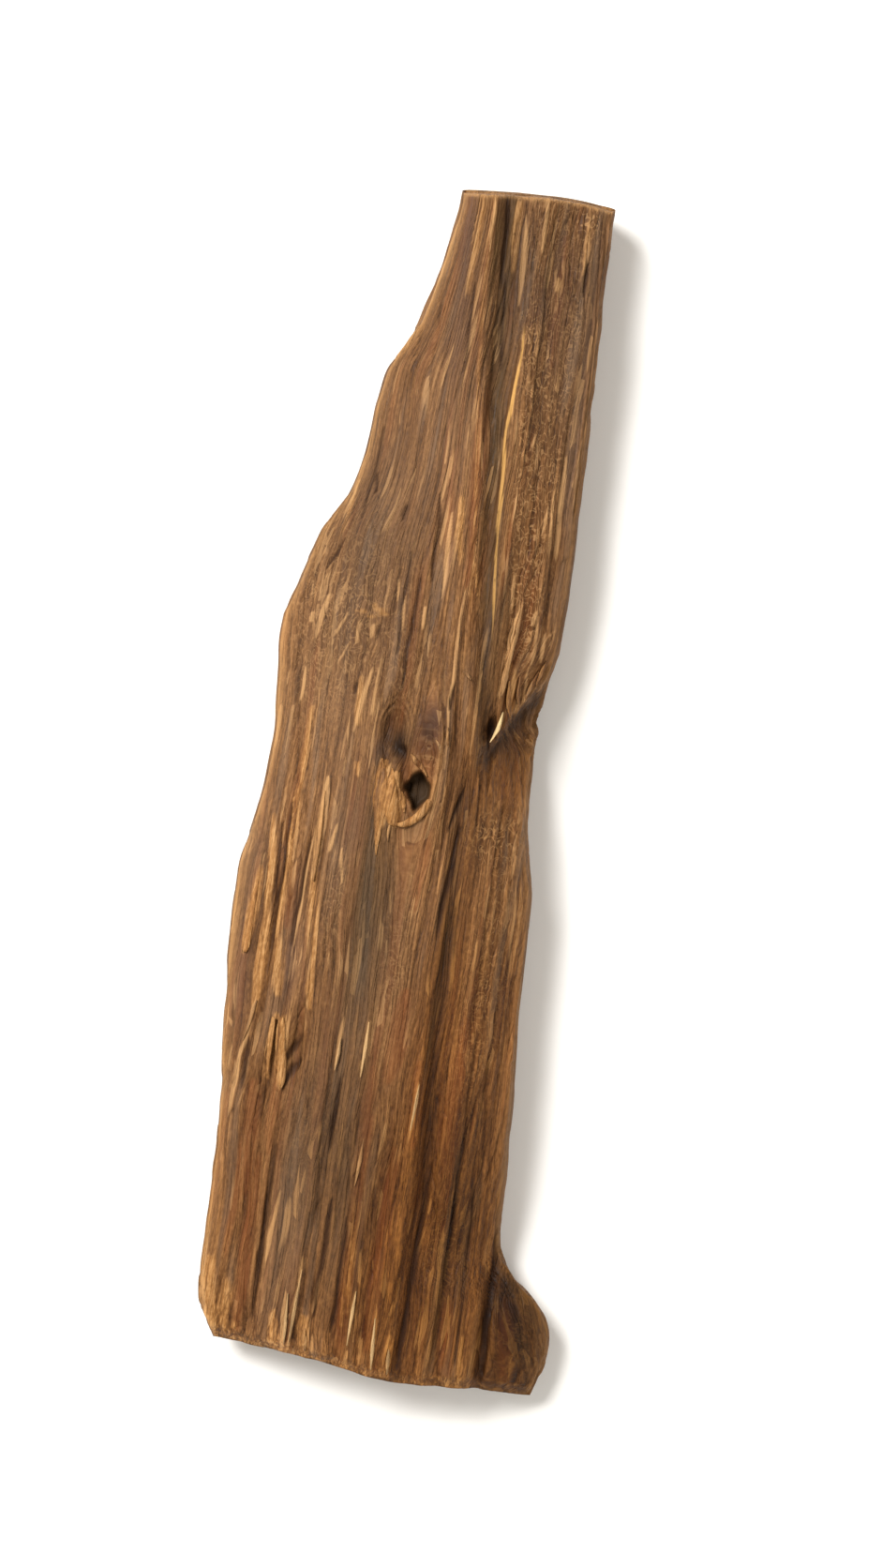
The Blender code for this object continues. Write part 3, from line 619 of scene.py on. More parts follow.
def staveShape():
    grid, region = plainGrid()
    x, y, z = (grid[:, :, k] for k in range(3))
    normal = normalsOf(grid)
    masks = surfaceMasks(x, y, region)
    gx = grainOf(x, y, z)
    onFace, onSide, onBack = ((region == k)[None, :] * 1.0 for k in range(3))
    ripples = 0.15 + 0.3 * masks["ripple"] + 0.4 * masks["crinkle"]
    wavy = gx + ripples * field(x / 2.0, y / 3.4, 4.0)
    up = z / np.where(onSide > 0.5, 1.1, 2.2)
    width, length = stave["strandSize"]
    gap, level = strands(wavy / width, y / length, up)
    width, length = stave["bigStrandSize"]
    bigGap, bigLevel = strands(gx / width, y / length, up / 3.0 + 5.0)
    rough = 1.0 - stave["wornSmooth"] * mound(x, y, stave["wornPlace"], stave["wornReach"])
    rough = rough * (1.0 - 0.6 * onBack)
    fine = ridged(wavy / 0.62, y / 16.0, up) + 0.5 * field(wavy / 0.42, y / 7.0, up)
    small = (level - 0.5) - 0.7 * np.exp(-gap / 0.09)
    big = (bigLevel - 0.5) - 0.6 * np.exp(-bigGap / 0.05)
    relief = (stave["fibreHeight"] * fine + stave["strandHeight"] * (small + 1.5 * big)) * rough
    waves = field(wavy / 0.72 + 0.8 * field(gx / 1.5, y / 1.7, 3.0), y / 1.25, up)
    relief = relief + stave["crinkleHeight"] * (waves - 0.4 * ease(-waves, 0.2, 0.45)) * masks["crinkle"]
    relief = relief - (stave["crackDepth"] * cracking(x, y) + stave["lineDepth"] * masks["dark"]) * onFace
    relief = relief + stave["paleHeight"] * masks["pale"] + stave["ochreHeight"] * masks["ochre"]
    hole = holeDistance(x, y)
    hollowRing = np.hypot((x - knot["hollow"][0] - 0.4) / 1.9, (y - knot["hollow"][1]) / 3.6)
    arcs = np.cos(hollowRing * 2 * math.pi / 0.28) * bell((hollowRing - 1.05) / 0.3) * ease(y, 6.0, 9.0)
    relief = relief + (0.16 * arcs + 0.35 * bell((hole - 1.25) / 0.2) * ease(x - y, -3.0, 1.0)) * onFace
    relief = relief - 0.9 * bell(nearPath(x, y, knot["channel"]) / 0.7) * onFace
    relief = relief * (1.0 - 0.7 * ease(y, 76.0, 77.6))  # less relief at the two ends
    relief = relief * (0.1 + 0.9 * ease(y - through(brokenEnd, x), 0.0, 2.6))
    grid = grid + normal * relief[:, :, None]
    grid[:, :, 2] -= knot["holeDepth"] * ease(1.06 - hole, 0.0, 0.34) * onFace
    grid[:, :, 2] = np.maximum(grid[:, :, 2], 0.0)
    belowCrest = np.maximum(crest[-1][1] - grid[:, :, 2], 0.0)
    grid[:, :, 1] += stave["sawLean"] * belowCrest * ease(rowPlaces()[:, None], *stave["cutEndReach"])
    normal = normalsOf(grid)
    # Painted light and shade: ridges are made lighter and hollows darker in the colour, from how far each
    # point stands out from its neighbours round the ring
    fineDip = np.einsum("ijk,ijk->ij", grid - ringBlur(grid, 3), normal)
    broadDip = np.einsum("ijk,ijk->ij", grid - ringBlur(grid, 12), normal)
    masks["relief"] = np.clip(fineDip / 0.10, -1.0, 1.0) * 0.6 + np.clip(broadDip / 0.5, -1.0, 1.0) * 0.4
    masks["back"] = onBack * np.ones_like(x) + onSide * 0.3
    # painted shade: the knot's hole is coloured dark where shade falls in it
    masks["hole"] = ease(1.04 - hole, 0.0, 0.2) * onFace
    masks["tone"] = toneAndShadeOf(x, y, region)
    return grid, np.stack([gx, y, z], axis=2), masks


def closeEnd(grid, masks, row, sawn):  # rings that close an end up towards the middle of the wood
    ring = grid[row]
    count = stave["facePoints"]
    middle = np.interp(ring[:, 0], ring[:count, 0], ring[:count, 2]) / 2 + 1.0
    rings, extras = [], []
    for k in range(1, stave["capRings"] + 1):
        share = 1.0 - k / (stave["capRings"] + 0.35)
        new = ring.copy()
        new[:, 2] = middle + (ring[:, 2] - middle) * share
        if sawn:
            marks = stave["sawMarkHeight"] * field(new[:, 0] / 30.0, new[:, 2] / 0.35, 1.0)
            new[:, 1] = ring[:, 1] + stave["sawLean"] * (ring[:, 2] - new[:, 2]) + marks
        else:
            ragged = 0.5 + field(new[:, 0] / 1.6, new[:, 2] / 2.2, 5.5)
            fibres = 0.5 + field(new[:, 0] / 0.5, new[:, 2] / 0.6, 3.5)
            new[:, 1] = ring[:, 1] + (1.0 - share ** 4) * (0.7 * ragged + 0.3 * fibres + 0.15)
        rings.append(new)
        extra = {name: values[row] * (name == "tone") for name, values in masks.items()}
        extra["cut" if sawn else "torn"] = np.ones(len(new))
        extras.append(extra)
    return rings, extras


def joinEnds(grid, grain, masks):  # puts the end rings before and after the long rows
    masks["cut"] = np.zeros(grid.shape[:2])
    masks["torn"] = 1.0 - ease(grid[:, :, 1] - through(brokenEnd, grid[:, :, 0]), 0.2, 2.4)
    lowRings, lowMasks = closeEnd(grid, masks, 0, sawn=False)
    highRings, highMasks = closeEnd(grid, masks, -1, sawn=True)
    before, after = np.array(lowRings[::-1]), np.array(highRings)
    allMasks = {}
    for name, values in masks.items():
        lowValues = np.array([extra[name] for extra in lowMasks[::-1]])
        highValues = np.array([extra[name] for extra in highMasks])
        allMasks[name] = np.concatenate([lowValues, values, highValues])
    allMasks["grain"] = np.concatenate([before, grain, after])
    return np.concatenate([before, grid, after]), allMasks


def ringFaces(index):  # the faces of a closed tube, for rings of point numbers, with its two ends
    near, far = index[:-1], index[1:]
    quads = np.stack([near, np.roll(near, -1, 1), np.roll(far, -1, 1), far], axis=2)
    return quads.reshape(-1, 4).tolist() + [index[0][::-1].tolist(), index[-1].tolist()]


def meshFromGrid(name, grid):
    rows, count = grid.shape[:2]
    index = np.arange(rows * count).reshape(rows, count)
    return meshFromLists(name, (grid.reshape(-1, 3) * mm).tolist(), ringFaces(index))


def meshFromLists(name, points, faces):
    data = bpy.data.meshes.new(name)
    data.from_pydata(points, [], faces)
    shape = bmesh.new()
    shape.from_mesh(data)
    bmesh.ops.triangulate(shape, faces=[f for f in shape.faces if len(f.verts) > 4])
    bmesh.ops.recalc_face_normals(shape, faces=shape.faces[:])
    shape.to_mesh(data)
    shape.free()
    data.shade_smooth()
    return data


def addPiece(name, data, material, attributes):
    for key, values in attributes.items():
        if key == "grain":
            layer = data.attributes.new(key, "FLOAT_VECTOR", "POINT")
            layer.data.foreach_set("vector", np.ravel(values).astype(np.float32))
        else:
            layer = data.attributes.new(key, "FLOAT", "POINT")
            layer.data.foreach_set("value", np.ravel(values).astype(np.float32))
    piece = bpy.data.objects.new(name, data)
    bpy.context.scene.collection.objects.link(piece)
    data.materials.append(material)
    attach(piece, "root")
    data.calc_loop_triangles()
    print(name + ":", len(data.vertices), "points,", len(data.loop_triangles), "triangles")
    return piece


class Wire:
    # one output of a material's node: sums on it add Math nodes
    def __init__(self, paint, socket):
        self.paint = paint
        self.socket = socket

    def __add__(self, other):
        return self.paint.math("ADD", self, other)

    __radd__ = __add__

    def __sub__(self, other):
        return self.paint.math("SUBTRACT", self, other)

    def __rsub__(self, other):
        return self.paint.math("SUBTRACT", other, self)

    def __mul__(self, other):
        return self.paint.math("MULTIPLY", self, other)

    __rmul__ = __mul__

    def __abs__(self):
        return self.paint.math("ABSOLUTE", self)

    def clamp(self):
        return self.paint.math("ADD", self, 0.0, clamped=True)


class Paint:
    # a material and its nodes
    def __init__(self, name):
        self.material = bpy.data.materials.new(name)
        self.material.use_nodes = True
        self.tree = self.material.node_tree
        self.tree.nodes.clear()
        self.shader = self.tree.nodes.new("ShaderNodeBsdfPrincipled")
        output = self.tree.nodes.new("ShaderNodeOutputMaterial")
        self.tree.links.new(self.shader.outputs[0], output.inputs[0])

    def fill(self, node, sockets):
        for key, value in sockets.items():
            if isinstance(value, Wire):
                self.tree.links.new(value.socket, node.inputs[key])
            else:
                node.inputs[key].default_value = value

    def node(self, kind, settings, sockets, out=0):
        node = self.tree.nodes.new("ShaderNode" + kind)
        for key, value in settings.items():
            if key == "stops":
                ramp = node.color_ramp
                while len(ramp.elements) < len(value):
                    ramp.elements.new(0.5)
                for element, (place, colour) in zip(ramp.elements, value):
                    element.position = place
                    element.color = colour
            else:
                setattr(node, key, value)
        self.fill(node, sockets)
        return Wire(self, node.outputs[out])

    def math(self, operation, a, b=0.0, clamped=False):
        return self.node("Math", {"operation": operation, "use_clamp": clamped}, {0: a, 1: b})

    def number(self, name):
        return self.node("Attribute", {"attribute_name": name}, {}, out=2)

    def vector(self, name):
        return self.node("Attribute", {"attribute_name": name}, {}, out=1)

    def scaled(self, vector, x, y, z):  # sizes in millimetres of one noise cell
        return self.node("VectorMath", {"operation": "MULTIPLY"}, {0: vector, 1: (1 / x, 1 / y, 1 / z)})

    def noise(self, vector, size, detail=2.0, distortion=0.0):
        sockets = {"Vector": self.scaled(vector, *size), "Scale": 1.0}
        sockets.update({"Detail": detail, "Distortion": distortion})
        return self.node("TexNoise", {"noise_dimensions": "3D"}, sockets)

    def cellular(self, vector, size, feature, out=0):
        settings = {"voronoi_dimensions": "3D", "feature": feature}
        return self.node("TexVoronoi", settings, {"Vector": self.scaled(vector, *size), "Scale": 1.0}, out)

    def shifted(self, vector, across):  # the vector moved across the grain
        move = self.node("CombineXYZ", {}, {0: across})
        return self.node("VectorMath", {"operation": "ADD"}, {0: vector, 1: move})

    def ramp(self, value, stops):
        return self.node("ValToRGB", {"stops": stops}, {0: value})

    def mix(self, a, b, factor):
        settings = {"data_type": "RGBA", "blend_type": "MIX", "clamp_factor": True}
        return self.node("Mix", settings, {0: factor, 6: a, 7: b}, out=2)

    def span(self, value, low, high):  # 0 at low and 1 at high, eased
        sockets = {"Value": value, "From Min": low, "From Max": high}
        return self.node("MapRange", {"interpolation_type": "SMOOTHSTEP"}, sockets)

    def finish(self, sockets):
        self.fill(self.shader, sockets)
        return self.material


def rgb(red, green, blue):  # a colour in screen values, 0 to 255
    def linear(value):
        value /= 255
        return value / 12.92 if value <= 0.04045 else ((value + 0.055) / 1.055) ** 2.4
    return (linear(red), linear(green), linear(blue), 1.0)


woodLook = {
    "resin": rgb(52, 29, 10),
    "shade": rgb(86, 54, 25),
    "body": rgb(112, 75, 41),
    "light": rgb(150, 106, 63),
    "ochreDark": rgb(120, 78, 39),
    "ochre": rgb(166, 116, 63),
    "ochreLight": rgb(202, 153, 98),
    "pale": rgb(202, 155, 103),
    "cream": rgb(226, 194, 140),
    # colour of the painted highlight on the furrow's right wall
    "highlightGold": rgb(206, 156, 88),
    "rust": rgb(128, 70, 33),
    "grey": rgb(112, 92, 74),
    "plum": rgb(84, 60, 48),
    "olive": rgb(94, 72, 42),
    # painted shade inside the knot's hole
    "hole": rgb(56, 41, 24),
    "cut": rgb(152, 109, 64),
    "backWood": rgb(150, 109, 64),
    "warm": rgb(255, 231, 180),
    "pith": (-3.0, 0.0, -24.0),     # the middle of the growth rings, below the piece
    "ringsPerTurn": 5.0,
    "rustAmount": (0.22, 0.42), "greyAmount": (0.25, 0.6),  # everywhere, and more with the fibres
    "oliveAmount": (0.25, 0.5), "plumAmount": (0.25, 0.9),
    # the last is how strongly the painted highlight on the furrow's right wall shows
    "ochreAmount": 0.70, "paleAmount": 0.58, "highlightGoldAmount": 0.85,
    "squiggles": (0.48, 0.26),      # light twists in the crinkled and in the rippled wood
    # sizes of the textures' cells in millimetres, as (across, along, up)
    "fineCell": (0.30, 10.0, 0.4), "bandCell": (0.70, 26.0, 1.1), "broadCell": (3.2, 60.0, 5.0),
    "gritCell": (0.22, 0.8, 0.5), "strandCell": (0.60, 16.0, 1.4), "strokeCell": (0.42, 5.0, 0.9),
    "curlCell": (0.85, 1.5, 1.3), "wormCell": (0.80, 1.25, 1.2), "hueCell": (2.2, 38.0, 4.0),
    "veinCell": (0.9, 22.0, 1.6), "resinCell": (2.0, 30.0, 3.0),
    # and of the sawn and the torn end's, seen along the grain
    "splitCell": (2.8, 1.0, 0.8), "warpCell": (4.0, 1.0, 4.0), "sawCell": (16.0, 1.0, 0.22),
    "poreCell": (0.20, 1.0, 0.20), "spotCell": (3.6, 1.0, 2.6),
    "roughness": 0.66,
    "ior": 1.45, "specular": 0.18,
    "bumpHeight": 0.00018,
}


def woodMaterial():
    p = Paint("agarwood")
    look = woodLook
    grain = p.vector("grain")
    relief, crinkle, ripple = p.number("relief"), p.number("crinkle"), p.number("ripple")

    # The fibres wander a little, and twist in the crinkled wood
    slow = p.noise(grain, (5.0, 16.0, 6.0), detail=1.0) - 0.5
    quick = p.noise(grain, (1.3, 3.0, 1.8), detail=1.0) - 0.5
    wavy = p.shifted(grain, slow * 1.4 + quick * (crinkle * 1.0 + ripple * 0.8 + 0.16))

    # Light and dark: fine fibres, strands, bands of several fibres and the twists of the crinkled wood,
    # with painted highlights on the ridges and painted shade in the hollows
    fine = p.noise(wavy, look["fineCell"], detail=2.0)
    band = p.noise(wavy, look["bandCell"], detail=3.0)
    grit = p.noise(wavy, look["gritCell"], detail=2.0)
    broad = p.noise(grain, look["broadCell"], detail=1.0)
    strand = p.cellular(wavy, look["strandCell"], "F1", out=1)
    gap = p.cellular(wavy, look["strandCell"], "DISTANCE_TO_EDGE")
    stroke = p.cellular(wavy, look["strokeCell"], "F1", out=1)
    curl = p.noise(wavy, look["curlCell"], detail=1.0, distortion=1.0)
    fibres = (fine - 0.5) * 0.55 + (band - 0.5) * 0.62
    value = 0.52 + fibres * (1.0 - p.number("smooth") * 0.36) + (broad - 0.5) * 0.25 + (grit - 0.5) * 0.54
    # the relief value paints highlights on the ridges and shade in the hollows
    value = value + (strand - 0.5) * 0.10 + (curl - 0.5) * (crinkle * 0.40 + 0.06) + relief * 0.14
    value = value - (1.0 - p.span(gap, 0.0, 0.06)) * 0.07
    stops = [(0.16, look["resin"]), (0.36, look["shade"]), (0.55, look["body"]), (0.84, look["light"])]
    colour = p.ramp(value, stops)

    # Where the wood is redder, greyer, darker or smoother
    hueBand = p.noise(grain, look["hueCell"], detail=2.0)
    rust = (p.number("rust") * 0.85 + p.span(hueBand, 0.55, 0.68) * 0.6).clamp()
    colour = p.mix(colour, look["rust"], rust * (look["rustAmount"][0] + strand * look["rustAmount"][1]))
    greyness = (p.number("grey") * 0.85 + p.span(hueBand, 0.45, 0.32) * 0.6).clamp()
    colour = p.mix(colour, look["grey"], greyness * (look["greyAmount"][0] + fine * look["greyAmount"][1]))
    for name, texture in (("olive", fine), ("plum", band)):
        evenly, withFibres = look[name + "Amount"]
        colour = p.mix(colour, look[name], p.number(name) * (evenly + texture * withFibres))

    # Ochre and pale fibres break up at their edges along the grain
    fibreEdge = (fine - 0.5) * 1.1 + (band - 0.5) * 0.9 + (strand - 0.5) * 0.25
    stops = [(0.32, look["ochreDark"]), (0.54, look["ochre"]), (0.76, look["ochreLight"])]
    ochreMask = p.span(p.number("ochre") + fibreEdge, 0.12, 1.1) * look["ochreAmount"]
    colour = p.mix(colour, p.ramp(value, stops), ochreMask)
    paleMask = p.span(p.number("pale") + fibreEdge * 0.7, 0.3, 1.1) * look["paleAmount"]
    colour = p.mix(colour, look["pale"], paleMask)
    here = p.span(p.noise(grain, (3.0, 9.0, 3.0), detail=0.0), 0.44, 0.60)
    colour = p.mix(colour, look["pale"], p.span(stroke, 0.72, 0.82) * here * 0.34)
    worm = p.noise(wavy, look["wormCell"], detail=0.5, distortion=1.1)
    squiggle = 1.0 - p.span(abs(worm - 0.5), 0.01, 0.06)
    inCrinkle, inRipple = look["squiggles"]
    colour = p.mix(colour, look["pale"], squiggle * (crinkle * inCrinkle + ripple * inRipple).clamp())
    between = p.span(worm, 0.58, 0.74) * (crinkle * 0.28 + ripple * 0.10).clamp()
    colour = p.mix(colour, look["shade"], between)
    fromLine = p.number("fromLine") + (band - 0.5) * 0.9
    # painted highlight: a thin gold line down the furrow's lit right wall
    wallHighlight = (1.0 - p.span(abs(fromLine), 0.10, 0.26)) * p.number("onLine")
    colour = p.mix(colour, look["highlightGold"], wallHighlight * look["highlightGoldAmount"])
    # painted shadow: a darker band just left of the gold line, the furrow's shade
    furrowShadow = (1.0 - p.span(abs(fromLine + 0.45), 0.08, 0.3)) * p.number("onLine")
    colour = p.mix(colour, look["shade"], furrowShadow * 0.5)
    vein = 1.0 - p.span(abs(p.noise(wavy, look["veinCell"], detail=1.0) - 0.47), 0.0, 0.012)
    colour = p.mix(colour, look["resin"], (vein * 0.4 + p.number("dark") * 0.85).clamp())
    # painted highlight along the rims
    colour = p.mix(colour, look["ochreLight"], p.number("worn") * (0.35 + fine * 0.6))

    # The knot's hole, the ends and the back
    # painted shade in the knot's hole
    colour = p.mix(colour, look["hole"], p.number("hole") * 0.92)
    torn = p.ramp(value, [(0.3, look["shade"]), (0.5, look["ochreDark"]), (0.78, look["ochreLight"])])
    colour = p.mix(colour, torn, p.number("torn") * p.span(band, 0.40, 0.56) * 0.7)
    section = p.node("VectorMath", {"operation": "MULTIPLY"}, {0: grain, 1: (1.0, 0.0, 1.0)})
    splits = p.span(p.noise(section, look["splitCell"], detail=3.0, distortion=0.4), 0.49, 0.60)
    colour = p.mix(colour, look["resin"], p.span(p.number("torn"), 0.9, 1.0) * splits * 0.6)
    fromPith = p.node("VectorMath", {"operation": "DISTANCE"}, {0: section, 1: look["pith"]}, out=1)
    warp = p.noise(section, look["warpCell"], detail=1.0)
    rings = p.math("SINE", fromPith * look["ringsPerTurn"] + warp * 5.0)
    sawLines = p.noise(section, look["sawCell"], detail=2.0)
    pores = p.noise(section, look["poreCell"], detail=0.0)
    cutValue = 0.5 + rings * 0.10 + (sawLines - 0.5) * 0.55 + (warp - 0.5) * 0.4
    cutWood = p.ramp(cutValue, [(0.2, look["shade"]), (0.5, look["cut"]), (0.8, look["backWood"])])
    cutWood = p.mix(cutWood, look["shade"], p.span(pores, 0.60, 0.72) * 0.7)
    resinSpots = p.span(p.noise(section, look["spotCell"], detail=3.0), 0.52, 0.66)
    cutWood = p.mix(cutWood, look["resin"], resinSpots * 0.65)
    colour = p.mix(colour, cutWood, p.number("cut"))
    fresh = p.ramp(value, [(0.22, look["shade"]), (0.45, look["cut"]), (0.75, look["backWood"])])
    resinStreak = p.span(p.noise(grain, look["resinCell"], detail=3.0), 0.52, 0.60)
    fresh = p.mix(fresh, look["resin"], resinStreak * 0.75)
    colour = p.mix(colour, fresh, p.number("back") * 0.85)
    warmed = p.node("VectorMath", {"operation": "MULTIPLY"}, {0: colour, 1: look["warm"][:3]})
    colour = p.mix(colour, warmed, p.number("warm"))
    # the wood's own tone, with the painted shade of the valley, the furrow, the break, the slit, the knot
    # and the foot
    tone = p.number("tone")
    colour = p.node("VectorMath", {"operation": "SCALE"}, {0: colour, 3: tone * tone})
    colour = p.mix(colour, look["cream"], p.number("cream"))

    height = fine * 0.8 + grit * 0.5 + curl * (crinkle * 1.0 + 0.15)
    height = height + strand * 0.3 + p.span(gap, 0.0, 0.1) * 0.4
    bump = p.node("Bump", {}, {"Height": height, "Strength": 1.0, "Distance": look["bumpHeight"]})
    rough = look["roughness"] + (fine - 0.5) * 0.25 - (1.0 - p.span(value, 0.2, 0.5)) * 0.12
    return p.finish({
        "Base Color": colour, "Roughness": rough, "Normal": bump,
        "IOR": look["ior"], "Specular IOR Level": look["specular"],
    })


def makeStave(material):
    grid, grain, masks = staveShape()
    grid, masks = joinEnds(grid, grain, masks)
    piece = addPiece("woodStave", meshFromGrid("woodStave", grid), material, masks)
    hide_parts(woodNode)


# A torn fibre that lies on the face: its path, as (across, along), its half width at places along the
# path, its thickness, how far its two ends lift, and the colours that it takes
def fibre(path, half, thick, lift, **colour):
    return {"path": path, "half": half, "thick": thick, "lift": lift, "colour": colour}


def slim(first, middle, last, at=0.5):  # half widths at the two ends and at one place between them
    return [(0, first), (at, middle), (1, last)]


splinters = {
    "stations": 30, "round": 10,
    "knotFlap": [
        fibre([(-8.1, 2.3), (-7.7, -0.8), (-7.4, -4.6), (-7.3, -7.4), (-7.1, -10.4)],
              [(0, 0.1), (0.14, 0.6), (0.4, 1), (0.6, 0.6), (0.8, 0.36), (1, 0.06)],
              0.45, (0.1, 0.15), ochre=1),
        fibre([(-6.6, 1.2), (-6.2, -2), (-5.7, -4.6), (-5.3, -6.3)],
              [(0, 0.1), (0.3, 0.75), (0.7, 0.95), (0.92, 0.65), (1, 0.15)], 0.42, (0, 0.22), ochre=1),
        fibre([(-5.3, -1.2), (-4.7, -2.6), (-4.2, -4.3)],
              slim(0.06, 0.45, 0.12), 0.4, (0.2, 0.1), ochre=0.8),
        fibre([(-5.8, -6), (-5.9, -7.2), (-5.8, -8.3)],
              slim(0.12, 0.2, 0.05, at=0.4), 0.2, (0.1, 0.1), pale=0.8),
    ],
    "knotRim": [
        fibre([(-5.2, -6), (-3.9, -5.8), (-2.5, -4.7), (-1.5, -3.3), (-1.15, -2.1)],
              [(0, 0.2), (0.35, 0.5), (0.75, 0.52), (0.95, 0.35), (1, 0.12)], 0.6, (0.2, 0.1), ochre=0.95),
        fibre([(-4.4, 3.4), (-3.6, 2.5), (-2.8, 1.9), (-1.9, 0.8)],
              [(0, 0.12), (0.3, 0.36), (0.7, 0.3), (1, 0.08)], 0.45, (0.35, 0.2), pale=0.55, ochre=0.4),
        fibre([(-1.5, 5.7), (-0.9, 5), (-0.7, 4.1)], slim(0.08, 0.2, 0.05), 0.25, (0.1, 0), pale=0.7),
        fibre([(-0.2, 7.6), (0, 6.2), (0.3, 5)], slim(0.06, 0.22, 0.06), 0.25, (0.1, 0), pale=0.6),
        fibre([(0.7, 15.2), (1.4, 14.7), (2.1, 14)], slim(0.08, 0.24, 0.06), 0.25, (0.1, 0), pale=0.5),
    ],
    "breakFibres": [
        fibre([(6.75, 10.6), (6.6, 9.4), (6.3, 8.1), (5.6, 6.4)],
              [(0, 0.06), (0.3, 0.2), (0.65, 0.26), (1, 0.04)], 0.35, (0.3, 1.2), cream=0.85),
        fibre([(7.3, 25), (7, 21), (6.5, 17), (6.2, 14), (6, 12.2)],
              [(0, 0.08), (0.3, 0.24), (0.8, 0.34), (1, 0.08)], 0.4, (0, 0.4), pale=0.75, ochre=0.5),
        fibre([(7, 14.8), (7.3, 12), (7.9, 9.8)], slim(0.1, 0.34, 0.08), 0.4, (0, 0.6), ochre=0.75),
        fibre([(8.3, 15.6), (8.4, 13.2), (8.8, 11.4)], slim(0.08, 0.26, 0.06), 0.35, (0, 0.5), pale=0.5),
        fibre([(10.7, 16.6), (10, 14.6), (9.4, 12.8)], slim(0.08, 0.24, 0.06), 0.35, (0, 0.5), pale=0.4),
        fibre([(11.6, 18.2), (11, 16.4), (10.6, 14.8)],
              slim(0.08, 0.24, 0.06), 0.35, (0, 0.4), ochre=0.5),
    ],
    "sideFlames": [
        fibre([(-16.3, -33.4), (-16, -37), (-15.3, -40.5), (-15.1, -42.8)],
              [(0, 0.3), (0.15, 0.6), (0.6, 0.65), (0.9, 0.35), (1, 0.1)], 0.45, (0.1, 0.25), ochre=1),
        fibre([(-17.4, -33.6), (-17.4, -37), (-17.2, -41.4)],
              slim(0.25, 0.42, 0.08, at=0.4), 0.35, (0.1, 0.1), ochre=0.85),
        fibre([(-20, -31.8), (-20.5, -34.6), (-21.1, -37.4)],
              slim(0.1, 0.24, 0.06), 0.3, (0.1, 0.1), pale=0.7),
        fibre([(-22, -15), (-22.5, -20), (-22.6, -25.8)],
              [(0, 0.06), (0.5, 0.5), (0.92, 0.55), (1, 0.3)], 0.35, (0, 0.15), ochre=0.95),
        fibre([(-15, -3), (-15.1, -9), (-14.8, -15)],
              slim(0.1, 0.46, 0.1), 0.3, (0, 0), pale=0.7, ochre=0.6),
        fibre([(-4.8, -32.2), (-4.8, -36), (-4.9, -39.6)],
              slim(0.08, 0.24, 0.06), 0.28, (0.05, 0.08), pale=0.8, cream=0.26),
        fibre([(-8.2, -34.8), (-8.2, -37), (-8.4, -39.2)],
              slim(0.06, 0.22, 0.05), 0.28, (0.05, 0.08), pale=0.8, cream=0.14),
        fibre([(2.9, -39), (2.8, -42.5), (2.5, -46.6)],
              slim(0.05, 0.22, 0.05, at=0.4), 0.26, (0.03, 0.03), pale=0.8, cream=0.2),
        fibre([(-3.3, -47.6), (-3.4, -51), (-3.6, -54)],
              slim(0.05, 0.24, 0.05), 0.22, (0.02, 0.02), pale=0.7),
    ],
    "endFibres": [
        fibre([(-10.3, -69.5), (-10.1, -73), (-9.9, -76.4)],
              slim(0.05, 0.22, 0.05, at=0.6), 0.25, (0.04, 0.04), pale=0.7, cream=0.25),
        fibre([(-8.9, -66), (-9.1, -71), (-9.3, -76.4)],
              slim(0.05, 0.22, 0.05, at=0.6), 0.25, (0.04, 0.04), pale=0.75, cream=0.2),
        fibre([(-7.5, -73.8), (-7.3, -75.4), (-7, -76.9)], slim(0.1, 0.4, 0.1), 0.3, (0, 0), ochre=0.8),
        fibre([(-1.4, -67.8), (-1.5, -71), (-1.6, -75.2)],
              slim(0.05, 0.22, 0.06), 0.28, (0.06, 0.06), pale=0.9, cream=0.3),
        fibre([(1.6, -71), (1.8, -74.6), (2, -78)],
              slim(0.05, 0.24, 0.06, at=0.6), 0.28, (0.06, 0.06), pale=0.8, cream=0.36),
        fibre([(4, -75), (4.1, -76.8), (4.2, -78.4)],
              slim(0.08, 0.26, 0.08, at=0.4), 0.28, (0.05, 0.05), ochre=0.7, cream=0.2),
    ],
}


def splinterRings(path, half, thick, lift):  # rings of points round one splinter, from end to end
    n, count = splinters["stations"], splinters["round"]
    t = np.linspace(0.0, 1.0, n)
    places = np.linspace(0.0, 1.0, len(path))
    x = through(list(zip(places, [p[0] for p in path])), t)
    y = through(list(zip(places, [p[1] for p in path])), t)
    tangent = np.stack([np.gradient(x), np.gradient(y)], axis=1)
    tangent /= np.linalg.norm(tangent, axis=1, keepdims=True)
    width = through(half, t)
    rise = lift[0] * (1.0 - t) ** 3 + lift[1] * t ** 3
    angle = np.linspace(0.0, 2 * math.pi, count, endpoint=False)[None, :]
    out = width[:, None] * np.cos(angle) * (1.0 + 0.15 * field(angle * 2.0, t[:, None] * 9.0, path[0][0]))
    px = x[:, None] + tangent[:, 1:2] * out
    py = y[:, None] - tangent[:, 0:1] * out
    full = thick * np.minimum(1.0, 1.6 * width / max(value for _, value in half))[:, None]
    frayed = 0.35 * field(out / 0.25, t[:, None] * 6.0, path[0][1])
    pz = faceAt(px, py) + full * (0.35 + (0.65 + frayed) * np.sin(angle)) + rise[:, None]
    return np.stack([px, py, pz], axis=2)


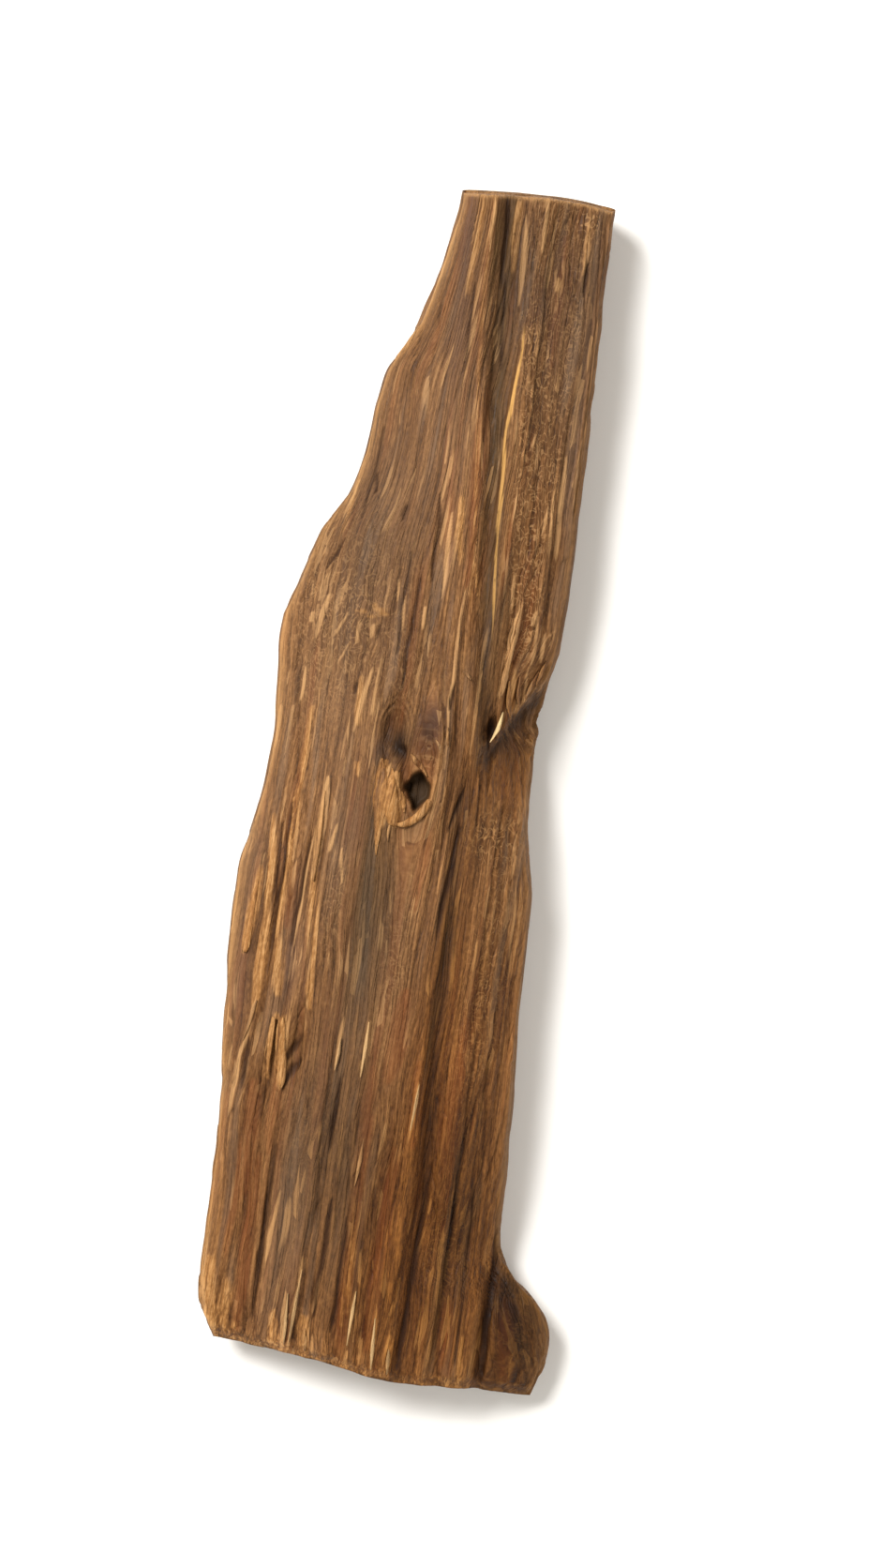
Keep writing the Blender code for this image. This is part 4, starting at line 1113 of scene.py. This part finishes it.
def makeSplinters(name, material):
    points, faces, grains = [], [], []
    masks = {key: [] for key in ("ochre", "pale", "cream", "tone", "crinkle", "ripple")}
    for one in splinters[name]:
        rings = splinterRings(one["path"], one["half"], one["thick"], one["lift"])
        n, count = rings.shape[:2]
        faces += ringFaces(len(points) + np.arange(n * count).reshape(n, count))
        flat = rings.reshape(-1, 3)
        points += (flat * mm).tolist()
        grains.append(flat)
        for key in masks:
            masks[key].append(np.full(len(flat), one["colour"].get(key, 1.0 if key == "tone" else 0.0)))
    attributes = {key: np.concatenate(values) for key, values in masks.items()}
    attributes["grain"] = np.concatenate(grains)
    addPiece(name, meshFromLists(name, points, faces), material, attributes)


studio = {
    "floor": rgb(246, 244, 240),
    "floorHalf": 3.0, "floorRoughness": 0.9,  # the first in metres
    "world": rgb(244, 238, 228),
    "worldStrength": 0.48,
    "cameraDistance": 600.0,
    "cameraShift": (1.5, 5.0),      # how far the camera stands off the piece's middle, across and along
    "lean": 8.31,                   # degrees that the piece leans in the picture
    "targetHeight": 6.0,            # the height that the camera looks at
    "framedLength": 209.0,          # length of the picture's long side at the piece
    "sensor": 36.0,
    "keyPlace": (-680.0, 500.0, 960.0),
    "keySize": 520.0, "keyEnergy": 24.2,
    "fillPlace": (760.0, -320.0, 840.0),
    "fillSize": 1000.0, "fillEnergy": 5.0,
}


def aimAt(thing, target, up=None):
    direction = (Vector(target) - thing.location).normalized()
    if up is None:
        thing.rotation_euler = direction.to_track_quat("-Z", "Y").to_euler()
        return
    side = direction.cross(up).normalized()
    top = side.cross(direction).normalized()
    rotation = thing.matrix_world.to_3x3()
    for k in range(3):
        rotation[k] = (side[k], top[k], -direction[k])
    thing.rotation_euler = rotation.to_euler()


def addLight(name, place, size, energy):
    data = bpy.data.lights.new(name, "AREA")
    data.size = size * mm
    data.energy = energy
    light = bpy.data.objects.new(name, data)
    bpy.context.scene.collection.objects.link(light)
    light.location = Vector(place) * mm
    aimAt(light, (0.0, 0.0, 0.0))


def makeFloor():
    data = bpy.data.meshes.new("floor")
    half = studio["floorHalf"]
    corners = [(-half, -half, 0), (half, -half, 0), (half, half, 0), (-half, half, 0)]
    data.from_pydata(corners, [], [(0, 1, 2, 3)])
    floor = bpy.data.objects.new("floor", data)
    bpy.context.scene.collection.objects.link(floor)
    p = Paint("pale floor")
    data.materials.append(p.finish({"Base Color": studio["floor"], "Roughness": studio["floorRoughness"]}))


def makeStudio():
    scene = bpy.context.scene
    scene.view_settings.view_transform = "Standard"
    world = bpy.data.worlds.new("soft studio")
    world.use_nodes = True
    sky = world.node_tree.nodes["Background"]
    sky.inputs["Color"].default_value = studio["world"]
    sky.inputs["Strength"].default_value = studio["worldStrength"]
    scene.world = world
    addLight("key", studio["keyPlace"], studio["keySize"], studio["keyEnergy"])
    addLight("fill", studio["fillPlace"], studio["fillSize"], studio["fillEnergy"])
    camera = bpy.data.objects.new("camera", bpy.data.cameras.new("camera"))
    scene.collection.objects.link(camera)
    scene.camera = camera
    shiftX, shiftY = studio["cameraShift"]
    distance, target = studio["cameraDistance"], Vector((0.0, 0.0, studio["targetHeight"]))
    camera.location = (target + Vector((shiftX, shiftY, distance))) * mm
    lean = math.radians(studio["lean"])
    aimAt(camera, target * mm, up=Vector((-math.sin(lean), math.cos(lean), 0.0)))
    camera.data.lens = studio["sensor"] * distance / studio["framedLength"]
    camera.data.clip_start = 0.01


wood = woodMaterial()
print("material:", len(wood.node_tree.nodes), "nodes")
makeStave(wood)
for splinterPiece in ("knotFlap", "knotRim", "breakFibres", "sideFlames", "endFibres"):
    makeSplinters(splinterPiece, wood)
makeFloor()
makeStudio()
print("studio: floor, lights and camera")
